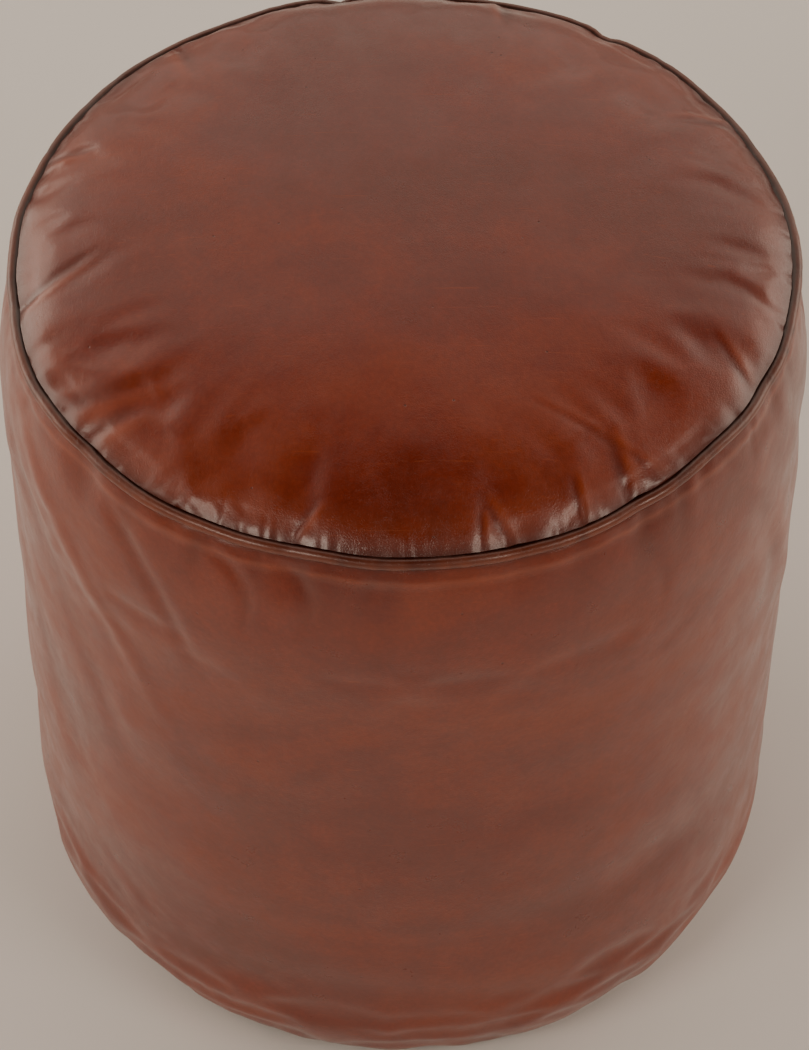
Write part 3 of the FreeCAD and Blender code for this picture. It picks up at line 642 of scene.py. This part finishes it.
folds = sum(depth * fold_depth(angle, points[:, 2], a, b, width) for a, b, width, depth in WALL_FOLDS)
slack = np.array([noise.noise((x * 7, y * 7, z * 14)) + 0.4 * noise.noise((x * 20, y * 20, z * 26))
                  for x, y, z in points])
allowance_step = smooth(0.0008, 0.0015, from_top) * (1 - smooth(0.0090, 0.0014, from_top))
edge_roll = np.clip(1 - from_top / 0.0030, 0, 1) ** 2
inward = (0.0013 * under_piping + 0.0034 * at_base * smooth(0.0, 0.012, from_base) + folds
          - 0.0017 * slack * smooth(0.0, 0.04, from_top) * smooth(0.0, 0.03, from_base)
          - 0.0009 * allowance_step + 0.0012 * edge_roll)
deep = wall_radius(points[:, 2]) - radius + inward
inward -= too_deep(deep) * smooth(0.010, 0.012, from_top) * smooth(0.006, 0.012, from_base)
draw_in(points, angle, inward)
write(wall, points)
# Painted shade in the pucker and fold valleys (crease) and under the piping and by the base seam, with some
# burnish (seam); a painted highlight along the seam allowance's edge and on fold ridges, and lighter towards
# the base (rub).
mark(wall, "crease", np.clip(0.8 * under_piping * (from_top < 0.05) + 0.5 * at_base + folds * 120, 0, 1))
highlight_and_rub = 0.70 * np.exp(-((from_top - ALLOWANCE) / 0.0016) ** 2) + 0.25 * np.exp(-from_base / 0.03)
mark(wall, "rub_and_highlight", np.clip(highlight_and_rub - folds * 160, 0, 1))
mark(wall, "seam", np.maximum(np.exp(-from_top / 0.0030), 0.5 * np.exp(-from_base / 0.004)))

# The tube is cut up its two sides into the front and back pieces, and drawn in along the side seams.
open_mesh(wall)
bpy.ops.mesh.select_mode(type="FACE")
bpy.ops.mesh.select_all(action="DESELECT")
mesh = bmesh.from_edit_mesh(wall.data)
for face in mesh.faces:
    face.select_set(face.calc_center_median().y < 0)
bpy.ops.mesh.separate(type="SELECTED")
close_mesh()
wall_front = next(o for o in bpy.context.selected_objects if o is not wall)
wall_front.name, wall.name = "wall_front_leather", "wall_back_leather"
for piece, node_name, toward in ((wall_front, "side_panel_front", -1), (wall, "side_panel_back", 1)):
    points = read(piece)
    near = np.clip(1 - np.abs(points[:, 1]) / PRESS, 0, 1)
    points[:, 0] *= 1 - 0.0016 * near ** 2 / BELLY_R
    points[:, 1] += toward * 0.00012 * near
    write(piece, points)
    turn_in(piece, lambda p: p.z > WALL_TOP - 0.012, [(0.0006, 0.0010), (0.0012, 0.0004), (0.0040, 0.0)])
    turn_in(piece, lambda p: p.z < BASE_Z + 0.002 and math.hypot(p.x, p.y) > BASE_R - 0.01,
            [(0.0008, -0.0002), (0.0030, 0.0004), (0.0050, 0.0)])
    thicken(piece)
    give(piece, wall_hide_painted_lighter)
    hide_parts(node_name)
    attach(piece, "pouf")


# ---------------------------------------------------------------------- piping
# A narrow skived strip of the same hide, folded round a 4 mm cotton cord and sewn in between top and wall.
# It wanders with the seam, is wrinkled across where it is pulled round, and its two ends overlap at the back.

CORD_RADIUS = 0.0020
BEAD_R = (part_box("piping_cover")[1][0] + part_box("piping_cord")[1][0] - CORD_RADIUS - PIPING_HALF) / 2
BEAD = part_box("piping_cover")[1][0] - BEAD_R

select_none()


def ring(name, around, sides, thickness):
    """A closed round of a cord or of the strip folded over it, on the seam line."""
    bpy.ops.mesh.primitive_torus_add(major_segments=around, minor_segments=sides, major_radius=BEAD_R,
                                     minor_radius=thickness, location=(0, 0, SEAM_Z), generate_uvs=False)
    made = bpy.context.object
    made.name = name
    bpy.ops.object.transform_apply(location=True)
    return made


piping = ring("piping_leather", 1080, 18, BEAD)
cord = ring("piping_filler_cord", 360, 10, CORD_RADIUS - 0.0001)
points = read(cord)
angle, radius = polar(points)
seam_r, seam_z = seam_line(angle)
write_round(cord, angle, radius + seam_r - SEAM_R, points[:, 2] + seam_z - SEAM_Z)
points = read(piping)
angle, radius = polar(points)
side_r, side_z = radius - BEAD_R, points[:, 2] - SEAM_Z
wrinkles = pucker(angle, np.zeros_like(angle), SEAM_R,
                  gathers(300, narrow=0.0005, wide=0.0011, short=0.006, long=0.007))
soft = np.array([noise.noise((math.cos(a) * 34, math.sin(a) * 34, z * 260)) for a, z in zip(angle, side_z)])
overlap = 0.13 * np.exp(-(gap(angle, 100) / 0.035) ** 4) + 0.10 * np.exp(-(gap(angle, 57) / 0.012) ** 2)
swell = 1 - 0.10 * np.clip(wrinkles, 0, 1) + 0.07 * soft + overlap
# Behind the bead the two layers of the strip lie together and run in to the seam.
strip = smooth(0.0, 1.0, np.clip(-side_r / BEAD - 0.55, 0, 0.45) / 0.45)
seam_r, seam_z = seam_line(angle)
radius = BEAD_R + side_r * swell + (seam_r - SEAM_R) - strip * 0.0035
height = SEAM_Z + side_z * swell * (1 - 0.55 * strip) + (seam_z - SEAM_Z)
write_round(piping, angle, radius, height)
# Painted shade in the wrinkles (crease) and on the bead's flanks and back strip by the seams (seam); a
# painted highlight on its outer side and top (rub).
mark(piping, "crease", np.clip(wrinkles * 0.9, 0, 1))
mark(piping, "rub_and_highlight", np.clip(0.55 * smooth(0.2, 0.8, side_r / BEAD) + 0.3 * smooth(0.3, 0.7, side_z / BEAD)
                            - wrinkles, 0, 1))
mark(piping, "seam", smooth(0.25, 0.7, np.abs(side_z) / BEAD) * 0.4 + smooth(0.0, 0.6, -side_r / BEAD))
shade(piping, 60)
give(piping, cowhide("piping cowhide", (0.030, 0.0050, 0.0014), (0.098, 0.0140, 0.0034), (0.27, 0.058, 0.016),
                     rough=0.36, wax=0.4, scratches=0.2, pebble=0.00003, wrinkle=0.00010, uneven=0.0001))
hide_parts("piping_cover")
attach(piping, "pouf")
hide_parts("piping_cord")
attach(cord, "pouf")


# ----------------------------------------------------------------------- base
# Two half-round pieces of plainer hide, sewn to the wall all round and to each other at both ends of the zip.
# A shallow channel keeps the zip off the floor. Along the opening each piece is turned under in a hem.

CHANNEL_Z = 0.0055                                       # the channel's roof
FLOOR_X, FLOOR_Y = 0.170, 0.022                          # where its roof ends, each way from the middle
MOUTH_X, MOUTH_Y = 0.176, 0.034                          # where it meets the floor
SLOT_END, SLOT_HALF = 0.156, 0.007                       # the opening between the hems
HEM_STITCHED = 0.0085                                    # its topstitch, from the fold
REST_R = 0.172                                           # it stands on the floor inside this
RIM_IN = 0.0012                                          # the pieces' rim lies inside the wall's
MIDDLE = 0.0001                                          # half the gap where the two pieces meet
BASE_COLUMNS, BASE_ROWS = 260, 84
HEM_LINE = [(0.0118, 0.00278), (0.0090, 0.00280), (0.0060, 0.00282), (0.0030, 0.00284), (0.0012, 0.00280),
            (0.0004, 0.00262), (0.0000, 0.00215), (-0.0002, 0.00140), (0.0000, 0.00070), (0.0005, 0.00022),
            (0.0013, 0.00002)]                           # distance from the fold, height over the outer face


def channel_lift(x, y):
    """How far the base leather is raised over the floor by the channel."""
    across = 1 - smooth(FLOOR_Y, MOUTH_Y - FLOOR_Y, np.abs(y))
    along = 1 - smooth(FLOOR_X - 0.004, MOUTH_X - FLOOR_X + 0.008, np.abs(x))
    return CHANNEL_Z * across * along


def dish(radius):
    """The base's height at a radius: flat where it stands, then an arc up to the seam."""
    width = BASE_R - REST_R
    arc = (width ** 2 + BASE_Z ** 2) / (2 * BASE_Z)
    return arc - np.sqrt(np.maximum(arc ** 2 - np.clip(radius - REST_R, 0, None) ** 2, 0))


base_puckers = gathers(92, narrow=0.0016, wide=0.0050, short=0.012, long=0.050)
base_hide = cowhide("plain base cowhide", (0.030, 0.0055, 0.0018), (0.105, 0.019, 0.0060),
                    (0.20, 0.055, 0.022), rough=0.50, wax=0.12, scratches=0.9,
                    pebble=0.00007, wrinkle=0.00005)
for piece_name, node_name, side in (("base_back_leather", "base_panel_back", 1),
                                    ("base_front_leather", "base_panel_front", -1)):
    select_none()
    bpy.ops.mesh.primitive_grid_add(x_subdivisions=BASE_COLUMNS, y_subdivisions=BASE_ROWS, size=2.0)
    base = bpy.context.object
    base.name = piece_name
    flat = read(base)
    row = np.rint((flat[:, 1] + 1) / 2 * BASE_ROWS).astype(int)
    turn = flat[:, 0] * math.pi / 2
    line_r, line_z = base_line(side * (math.pi / 2 - turn))
    x = (BASE_R - 1.5 * RIM_IN) * np.sin(turn)
    edge = MIDDLE + (SLOT_HALF - MIDDLE) * (1 - smooth(SLOT_END - 0.0016, 0.0032, np.abs(x)))
    out = (row - len(HEM_LINE)) / (BASE_ROWS - len(HEM_LINE))
    rim_y = np.maximum(np.sqrt(np.maximum((line_r - RIM_IN) ** 2 - x ** 2, 0)), edge)
    hem_y, hem_z = (np.array([h[k] for h in HEM_LINE]) for k in (0, 1))
    in_hem = row < len(HEM_LINE)
    at = np.clip(row, 0, len(HEM_LINE) - 1)
    start = edge + HEM_LINE[-1][0] + 0.0011
    y = np.where(in_hem, edge + hem_y[at], start + np.clip(out, 0, 1) * (np.maximum(rim_y, start) - start))
    y = np.minimum(y, np.maximum(rim_y, edge))
    radius = np.hypot(x, y)
    angle = np.arctan2(side * y, x)
    away = np.clip(base_line(angle)[0] - RIM_IN - radius, 0, None)
    folded = pucker(angle, away, BASE_R, base_puckers)
    slack = np.array([noise.noise((a * 16, b * 16, 3.7)) + 0.4 * noise.noise((a * 45, b * 45, 1.1))
                      for a, b in zip(x, side * y)])
    lift = channel_lift(x, y)
    free = lift / CHANNEL_Z + smooth(REST_R - 0.012, 0.020, radius)
    outer = 1 - smooth(0.0, 0.012, np.clip(0.150 - radius, 0, None))
    rise = (0.0003 + 0.0009 * np.abs(slack) * smooth(0.0, 0.004, away)
            + 0.0017 * folded * smooth(0.0, 0.005, away) * outer - 0.0006 * slack * np.clip(free, 0, 1))
    z = dish(radius) + lift + np.where(in_hem, hem_z[at] + 0.0003, np.clip(rise, 0.0002, None))
    seam_dimple = 0.0012 * np.exp(-(np.abs(y) / 0.0022) ** 2) * smooth(SLOT_END, 0.003, np.abs(x))
    z = np.where(away < 0.0015, np.minimum(z, line_z - 0.0004), z) + np.where(in_hem, 0, seam_dimple)
    write(base, np.column_stack([x, side * y, z]))
    stitched = np.exp(-(np.abs(y - edge - HEM_STITCHED) / 0.0016) ** 2) * lift / CHANNEL_Z
    on_rim = np.exp(-((radius - REST_R + 0.004) / 0.012) ** 2) * (lift < 0.001)
    at_mouth = np.exp(-((np.abs(y) - MOUTH_Y) / 0.004) ** 2) * (np.abs(x) < MOUTH_X)
    # Painted shade, with some burnish, in the pucker valleys and along the hem's stitched line (crease) and
    # by the rim and the hem's edge (seam); wear where the rim stands and at the channel's mouth (rub).
    mark(base, "crease", np.clip(0.6 * folded + 0.5 * stitched, 0, 1))
    mark(base, "rub_and_highlight", np.clip(0.8 * on_rim + 0.7 * at_mouth, 0, 1))
    mark(base, "seam", np.maximum(0.4 * np.exp(-away / 0.004), np.exp(-np.abs(y - edge) / 0.0016)))
    open_mesh(base)
    bpy.ops.mesh.remove_doubles(threshold=0.00002)
    bpy.ops.mesh.select_all(action="SELECT")
    if side > 0:
        bpy.ops.mesh.flip_normals()
    close_mesh()
    turn_in(base, lambda p: math.hypot(p.x, p.y) > BASE_R - 0.004 and p.z > 0.006,
            [(0.0008, 0.0002), (0.0030, -0.0002), (0.0050, 0.0)])
    thicken(base)
    give(base, base_hide)
    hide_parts(node_name)
    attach(base, "pouf")


# ----------------------------------------------------------------- zip: tapes
# Two woven polyester tapes lie on the hems, inside the base. Each has a corded edge that its teeth grip.

TAPE_THICK = 0.0007
TAPE_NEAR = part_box("zip_tape_back")[0][1]
TAPE_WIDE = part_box("zip_tape_back")[1][1] - TAPE_NEAR
TAPE_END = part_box("zip_tape_back")[1][0]
TAPE_Z = sum(c[2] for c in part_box("zip_tape_back")) / 2
TAPE_CLEAR = 0.00008                                     # it is this much thinner on each face


def weave_group():
    """Height and shade of a plain weave: over and under, one thread wide, with uneven yarns."""
    tree, into, out = group("weave", {"Place": "vector", "Threads": 1000.0, "Unevenness": 0.25},
                            {"Height": "NodeSocketFloat", "Shade": "NodeSocketFloat"})
    place, threads = into.outputs["Place"], into.outputs["Threads"]
    wander = node(tree, "ShaderNodeTexNoise", Vector=place, Scale=180.0, Detail=3.0).outputs["Color"]
    near = node(tree, "ShaderNodeMix", {"data_type": "VECTOR"}, i0=0.0006, i4=place, i5=wander).outputs[1]
    axes = node(tree, "ShaderNodeSeparateXYZ", Vector=near).outputs
    warp = maths(tree, "SINE", times(tree, axes["X"], threads))
    weft = maths(tree, "SINE", times(tree, plus(tree, axes["Y"], axes["Z"]), threads))
    over = plus(tree, times(tree, times(tree, warp, weft), 0.5), 0.5)
    slubs = times(tree, noisy(tree, place, 420.0, Detail=3.0), into.outputs["Unevenness"])
    height = plus(tree, over, slubs)
    tree.links.new(height, out.inputs["Height"])
    tree.links.new(ramp(tree, height, 0.0, 1.2, 0.55, 1.15), out.inputs["Shade"])
    return tree


WEAVE = weave_group()


def cloth_finish(name, colour, threads, depth, rough, soil=0.25):
    """Woven cloth. threads is how close its weave is, depth its relief, soil how uneven its colour is."""
    made, tree, shader, place = plain(name, rough)
    woven = use(tree, WEAVE, Place=place, Threads=threads)
    cloud = noisy(tree, place, 22.0, Detail=5.0, Roughness=0.6)
    tone = times(tree, woven.outputs["Shade"], ramp(tree, cloud, 0.25, 0.75, 1.0 - soil, 1.0))
    tree.links.new(toned(tree, (*colour, 1), tone), shader.inputs["Base Color"])
    tree.links.new(ramp(tree, cloud, 0.2, 0.8, rough - 0.06, rough + 0.06), shader.inputs["Roughness"])
    shader.inputs["Sheen Weight"].default_value = 0.25
    emboss(tree, shader, times(tree, woven.outputs["Height"], depth))
    return made


def merge(piece):
    """Joins the loose triangles of a copied mesh and takes away the lines across its flat faces."""
    open_mesh(piece)
    bpy.ops.mesh.remove_doubles(threshold=0.000002)
    bpy.ops.mesh.dissolve_limited(angle_limit=math.radians(1))
    close_mesh()


def hide_and_ride(piece, node_name, body):
    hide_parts(node_name)
    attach(piece, body)


tape_cloth = cloth_finish("dark woven tape", (0.050, 0.024, 0.014), 5200.0, 0.00007, 0.78)
for piece_name, node_name, side in (("zip_tape_back_woven", "zip_tape_back", 1),
                                    ("zip_tape_front_woven", "zip_tape_front", -1)):
    select_none()
    bpy.ops.mesh.primitive_grid_add(x_subdivisions=330, y_subdivisions=14, size=2.0)
    tape = bpy.context.object
    tape.name = piece_name
    flat = read(tape)
    across = (flat[:, 1] + 1) / 2
    y = TAPE_NEAR + TAPE_WIDE * across
    ripple = 0.00010 * np.sin(flat[:, 0] * 60 + 2 * side) * across
    height = TAPE_Z - TAPE_THICK / 2 + TAPE_CLEAR + ripple
    write(tape, np.column_stack([flat[:, 0] * TAPE_END, side * y, height]))
    open_mesh(tape)
    if side > 0:
        bpy.ops.mesh.flip_normals()
    close_mesh()
    modifier = tape.modifiers.new("thickness", "SOLIDIFY")
    modifier.thickness, modifier.offset = TAPE_THICK - 2 * TAPE_CLEAR, -1.0
    modifier = tape.modifiers.new("soft edge", "BEVEL")
    modifier.width, modifier.segments, modifier.limit_method = 0.00018, 2, "ANGLE"
    apply_all(tape)
    shade(tape, 60)
    give(tape, tape_cloth)
    hide_and_ride(tape, node_name, "pouf")


# ----------------------------------------------------- zip: teeth and bottom stop
# Brown nylon teeth and end block, moulded round the edges of the tapes. The teeth of the two sides mesh.

def moulded(name, colour, rough):
    """Moulded nylon: its flow marks, a fine matt skin and paler, rubbed high places."""
    made, tree, shader, place = plain(name, rough)
    flow = noisy(tree, place, 900.0, Detail=4.0, Roughness=0.55)
    rubbed = ramp(tree, node(tree, "ShaderNodeNewGeometry").outputs["Pointiness"], 0.50, 0.62)
    body = toned(tree, (*colour, 1), ramp(tree, flow, 0.3, 0.7, 0.86, 1.12))
    pale = tuple(min(1.0, c * 2.2 + 0.02) for c in colour)
    tree.links.new(mix(tree, times(tree, rubbed, 0.5), body, (*pale, 1)), shader.inputs["Base Color"])
    tree.links.new(ramp(tree, flow, 0.3, 0.7, rough - 0.07, rough + 0.07), shader.inputs["Roughness"])
    emboss(tree, shader, times(tree, flow, 0.00002))
    return made


def finished_copy(node_name, piece_name, width, segments):
    """A hard piece with its edges rounded, over its plain shape."""
    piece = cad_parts[node_name].copy()
    piece.data = piece.data.copy()
    piece.name = piece_name
    bpy.context.scene.collection.objects.link(piece)
    merge(piece)
    modifier = piece.modifiers.new("rounded edges", "BEVEL")
    modifier.width, modifier.segments, modifier.limit_method = width, segments, "ANGLE"
    modifier.angle_limit = math.radians(35)
    modifier.use_clamp_overlap = True
    apply_all(piece)
    shade(piece, 40)
    return piece


nylon = moulded("moulded brown nylon", (0.060, 0.030, 0.018), 0.38)
for node_name in ("zip_teeth_back", "zip_teeth_front", "zip_bottom_stop"):
    piece = finished_copy(node_name, node_name + "_moulded", 0.00022, 1 if "teeth" in node_name else 2)
    give(piece, nylon)
    hide_and_ride(piece, node_name, "pouf")


# ------------------------------------------------------- zip: slider, pull, top stops
# Die-cast and plated in old brass. The plating is dark in the corners and bright where hands have rubbed it.

def old_brass():
    """Brushed old brass with dark recesses, bright edges and fine scratches."""
    made, tree, shader, place = plain("old brass", 0.34)
    point = node(tree, "ShaderNodeNewGeometry").outputs["Pointiness"]
    cloud = noisy(tree, place, 260.0, Detail=6.0, Roughness=0.65)
    brushed = node(tree, "ShaderNodeMapping", Vector=place, Scale=(500.0, 9000.0, 9000.0)).outputs[0]
    lines = noisy(tree, brushed, 1.0, Detail=2.0)
    bright = ramp(tree, plus(tree, point, times(tree, cloud, 0.10)), 0.54, 0.62)
    dark = ramp(tree, plus(tree, point, times(tree, cloud, 0.16)), 0.58, 0.46)
    colour = mix(tree, bright, (0.34, 0.215, 0.085, 1), (0.72, 0.52, 0.25, 1))
    colour = mix(tree, times(tree, dark, 0.75), colour, (0.045, 0.030, 0.017, 1))
    tree.links.new(colour, shader.inputs["Base Color"])
    rough_now = ramp(tree, plus(tree, cloud, times(tree, lines, 0.4)), 0.4, 1.0, 0.26, 0.50)
    tree.links.new(rough_now, shader.inputs["Roughness"])
    shader.inputs["Metallic"].default_value = 1.0
    emboss(tree, shader, plus(tree, times(tree, lines, 0.000006), times(tree, cloud, 0.00003)))
    return made


brass = old_brass()
for node_name, body, width in (("zip_slider", "slider", 0.00028), ("zip_pull", "pull", 0.00030),
                               ("zip_top_stops", "pouf", 0.00025)):
    piece = finished_copy(node_name, node_name + "_brass", width, 3)
    give(piece, brass)
    hide_and_ride(piece, node_name, body)


# ------------------------------------------------------------------- base sewing
# Waxed polyester thread. Two rows of lockstitch hold hems and tapes together, and a bar of close zigzag
# stitches locks the seam at each end of the opening.

STITCH_HALF, THREAD = 0.0017, 0.0003                     # half a stitch's length, and its radius
STITCH_PITCH = 0.0044
STITCH_ROW = 2 * (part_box("zip_stitches_back")[1][0] - STITCH_HALF)
TACK_WIDE, TACK_THREAD = 0.0016, 0.00028
TACK_COUNT, TACK_LEAN = 22, 0.30


def thread_finish(name, colour):
    """Waxed thread: two plies that wind round each other, darker between."""
    made, tree, shader, place = plain(name, 0.5)
    turned = node(tree, "ShaderNodeMapping", Vector=place, Rotation=(0.0, 0.0, math.radians(50))).outputs[0]
    plies = node(tree, "ShaderNodeTexWave", Vector=turned, Scale=620.0, Distortion=0.6, Detail=1.0)
    plies = plies.outputs["Fac"]
    shadowed = toned(tree, (*colour, 1), ramp(tree, plies, 0.1, 0.7, 0.45, 1.1))
    tree.links.new(shadowed, shader.inputs["Base Color"])
    tree.links.new(ramp(tree, plies, 0.0, 1.0, 0.62, 0.42), shader.inputs["Roughness"])
    emboss(tree, shader, times(tree, plies, 0.00006))
    return made


def repeat(piece, count, step):
    """Copies a piece along a line by a fixed step, all in one mesh."""
    modifier = piece.modifiers.new("row", "ARRAY")
    modifier.count = count
    modifier.use_relative_offset = False
    modifier.use_constant_offset = True
    modifier.constant_offset_displace = step
    apply_all(piece)


def one_stitch(name, half_length, radius):
    """One stitch along X: a thread that is thickest in its middle and slimmer where it dives at both ends."""
    select_none()
    bpy.ops.mesh.primitive_cylinder_add(vertices=8, radius=radius, depth=2 * half_length)
    made = bpy.context.object
    made.name = name
    open_mesh(made)
    bpy.ops.mesh.subdivide(number_cuts=1)
    close_mesh()
    points = read(made)
    lengthwise = points[:, 2].copy()
    close = 1 - 0.45 * (np.abs(lengthwise) / half_length) ** 4
    write(made, np.column_stack([lengthwise, points[:, 0] * close, points[:, 1] * close]))
    return made


def sewn_down(piece, node_name):
    """Faces outwards, smooth, in brown thread."""
    open_mesh(piece)
    bpy.ops.mesh.normals_make_consistent(inside=False)
    close_mesh()
    shade(piece, 50)
    give(piece, dark_thread)
    hide_and_ride(piece, node_name, "pouf")


dark_thread = thread_finish("waxed brown thread", (0.21, 0.085, 0.042))
for node_name in ("zip_stitches_back", "zip_stitches_front"):
    low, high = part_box(node_name)
    stitches = one_stitch(node_name + "_sewn", STITCH_HALF, THREAD)
    first = np.array([low[0] + STITCH_HALF, (low[1] + high[1]) / 2, low[2] + THREAD])
    write(stitches, read(stitches) + first)
    repeat(stitches, round(STITCH_ROW / STITCH_PITCH) + 1, (STITCH_PITCH, 0, 0))
    repeat(stitches, 2, (0, 0, high[2] - low[2] - 2 * THREAD))
    sewn_down(stitches, node_name)

low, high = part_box("slot_end_tacks")
tacks = one_stitch("slot_end_tacks_sewn", TACK_WIDE / 2, TACK_THREAD)
points = read(tacks)
points[:, 1] += points[:, 0] * TACK_LEAN
write(tacks, points + np.array([high[0] - TACK_WIDE / 2, low[1] + 0.0004, (low[2] + high[2]) / 2]))
repeat(tacks, TACK_COUNT, (0, (high[1] - low[1] - 0.0008) / (TACK_COUNT - 1), 0))
repeat(tacks, 2, (-(high[0] - low[0] - TACK_WIDE), 0, 0))
sewn_down(tacks, "slot_end_tacks")
for node_name in ("top_seam_thread", "base_seam_thread", "side_seam_threads"):
    give(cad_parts[node_name], dark_thread)


# -------------------------------------------------------------- liner and filling
# An unbleached calico bag, sewn from three pieces, holds the loose cotton and wool. Neither shows in use.

def flock():
    """Loose pale fibres in soft tufts, with painted shade between them."""
    made, tree, shader, place = plain("cotton and wool flock", 0.95)
    tufts = node(tree, "ShaderNodeTexVoronoi", {"feature": "SMOOTH_F1"}, Vector=place, Scale=55.0,
                 Smoothness=0.6).outputs["Distance"]
    hair = noisy(tree, place, 900.0, Detail=5.0, Roughness=0.7, Distortion=2.0)
    colour = mix(tree, ramp(tree, hair, 0.3, 0.7), (0.52, 0.48, 0.42, 1), (0.83, 0.80, 0.74, 1))
    # Painted shade: darker between the tufts, where the relief dips.
    colour = mix(tree, ramp(tree, tufts, 0.3, 0.8, 0.0, 0.5), colour, (0.40, 0.36, 0.31, 1))
    tree.links.new(colour, shader.inputs["Base Color"])
    emboss(tree, shader, plus(tree, times(tree, tufts, -0.004), times(tree, hair, 0.0006)))
    return made


calico = cloth_finish("unbleached calico", (0.70, 0.62, 0.48), 5000.0, 0.00009, 0.85, soil=0.15)
for node_name in ("liner_top", "liner_side", "liner_base"):
    give(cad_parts[node_name], calico)
give(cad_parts["filling"], flock())
give(cord, cloth_finish("cotton filler cord", (0.72, 0.66, 0.54), 4200.0, 0.00008, 0.85))


# ---------------------------------------------------------------------- studio
# A flat, pale floor, soft warm lights at both sides, in front and behind, and the camera.

VIEW_HEIGHT = SEAM_Z / 2
DISTANCE, ELEVATION = 2.2, math.radians(50.3)
AIM_UP, AIM_RIGHT = math.radians(0.25), math.radians(0.02)
LENS_MM, FILM_MM = 134.8, 36.0
FLOOR_COLOUR = (0.78, 0.77, 0.75, 1)
WARM = (1.0, 0.84, 0.70)
ROOM_LIGHT = 0.40

paint, tree, shader, place = plain("pale floor", 0.7)
tone = ramp(tree, noisy(tree, place, 3.0, Detail=4.0), 0.2, 0.8, 0.97, 1.0)
tree.links.new(toned(tree, FLOOR_COLOUR, tone), shader.inputs["Base Color"])
select_none()
bpy.ops.mesh.primitive_plane_add(size=14.0, location=(0, 0, 0))
floor = bpy.context.object
floor.name = "floor"
give(floor, paint)


def soft_light(name, place, aim_height, width, height, power):
    """A wide warm lamp that faces a point on the pouf's upright axis."""
    lamp = bpy.data.lights.new(name, "AREA")
    lamp.shape, lamp.size, lamp.size_y = "RECTANGLE", width, height
    lamp.energy, lamp.color = power, WARM
    holder = bpy.data.objects.new(name, lamp)
    bpy.context.scene.collection.objects.link(holder)
    holder.location = place
    holder.rotation_euler = (Vector((0, 0, aim_height)) - Vector(place)).to_track_quat("-Z", "Y").to_euler()


soft_light("back wall", (0.0, 3.2, 2.6), 1.6, 6.5, 3.4, 46)
soft_light("left wall", (-2.4, 1.0, 1.1), 0.35, 2.6, 1.7, 38)
soft_light("right wall", (2.4, 0.9, 1.2), 0.35, 2.4, 1.6, 28)
soft_light("left window", (-1.6, -1.7, 2.2), 0.35, 1.1, 0.8, 24)
soft_light("right window", (1.8, -1.5, 2.1), 0.35, 1.1, 0.8, 18)

# The room is pale all round and dark overhead.
world = bpy.data.worlds.new("studio")
bpy.context.scene.world = world
world.use_nodes = True
tree = world.node_tree
towards = node(tree, "ShaderNodeTexCoord").outputs["Generated"]
direction = node(tree, "ShaderNodeSeparateXYZ", Vector=towards).outputs
walls = ramp(tree, direction["Z"], 0.82, 0.93, 1.0, 0.02)
behind = ramp(tree, direction["Y"], -0.5, 0.4, 0.75, 1.0)
background = tree.nodes["Background"]
background.inputs["Color"].default_value = (*WARM, 1)
tree.links.new(times(tree, times(tree, walls, behind), ROOM_LIGHT), background.inputs["Strength"])

lens = bpy.data.cameras.new("camera")
lens.sensor_fit, lens.sensor_height, lens.lens = "VERTICAL", FILM_MM, LENS_MM
camera = bpy.data.objects.new("camera", lens)
bpy.context.scene.collection.objects.link(camera)
middle = Vector((0, 0, VIEW_HEIGHT))
camera.location = middle + DISTANCE * Vector((0, -math.cos(ELEVATION), math.sin(ELEVATION)))
look = (middle - camera.location).to_track_quat("-Z", "Y")
nudge = Matrix.Rotation(AIM_UP, 3, "X") @ Matrix.Rotation(-AIM_RIGHT, 3, "Y")
camera.rotation_euler = (look.to_matrix() @ nudge).to_euler()
bpy.context.scene.camera = camera
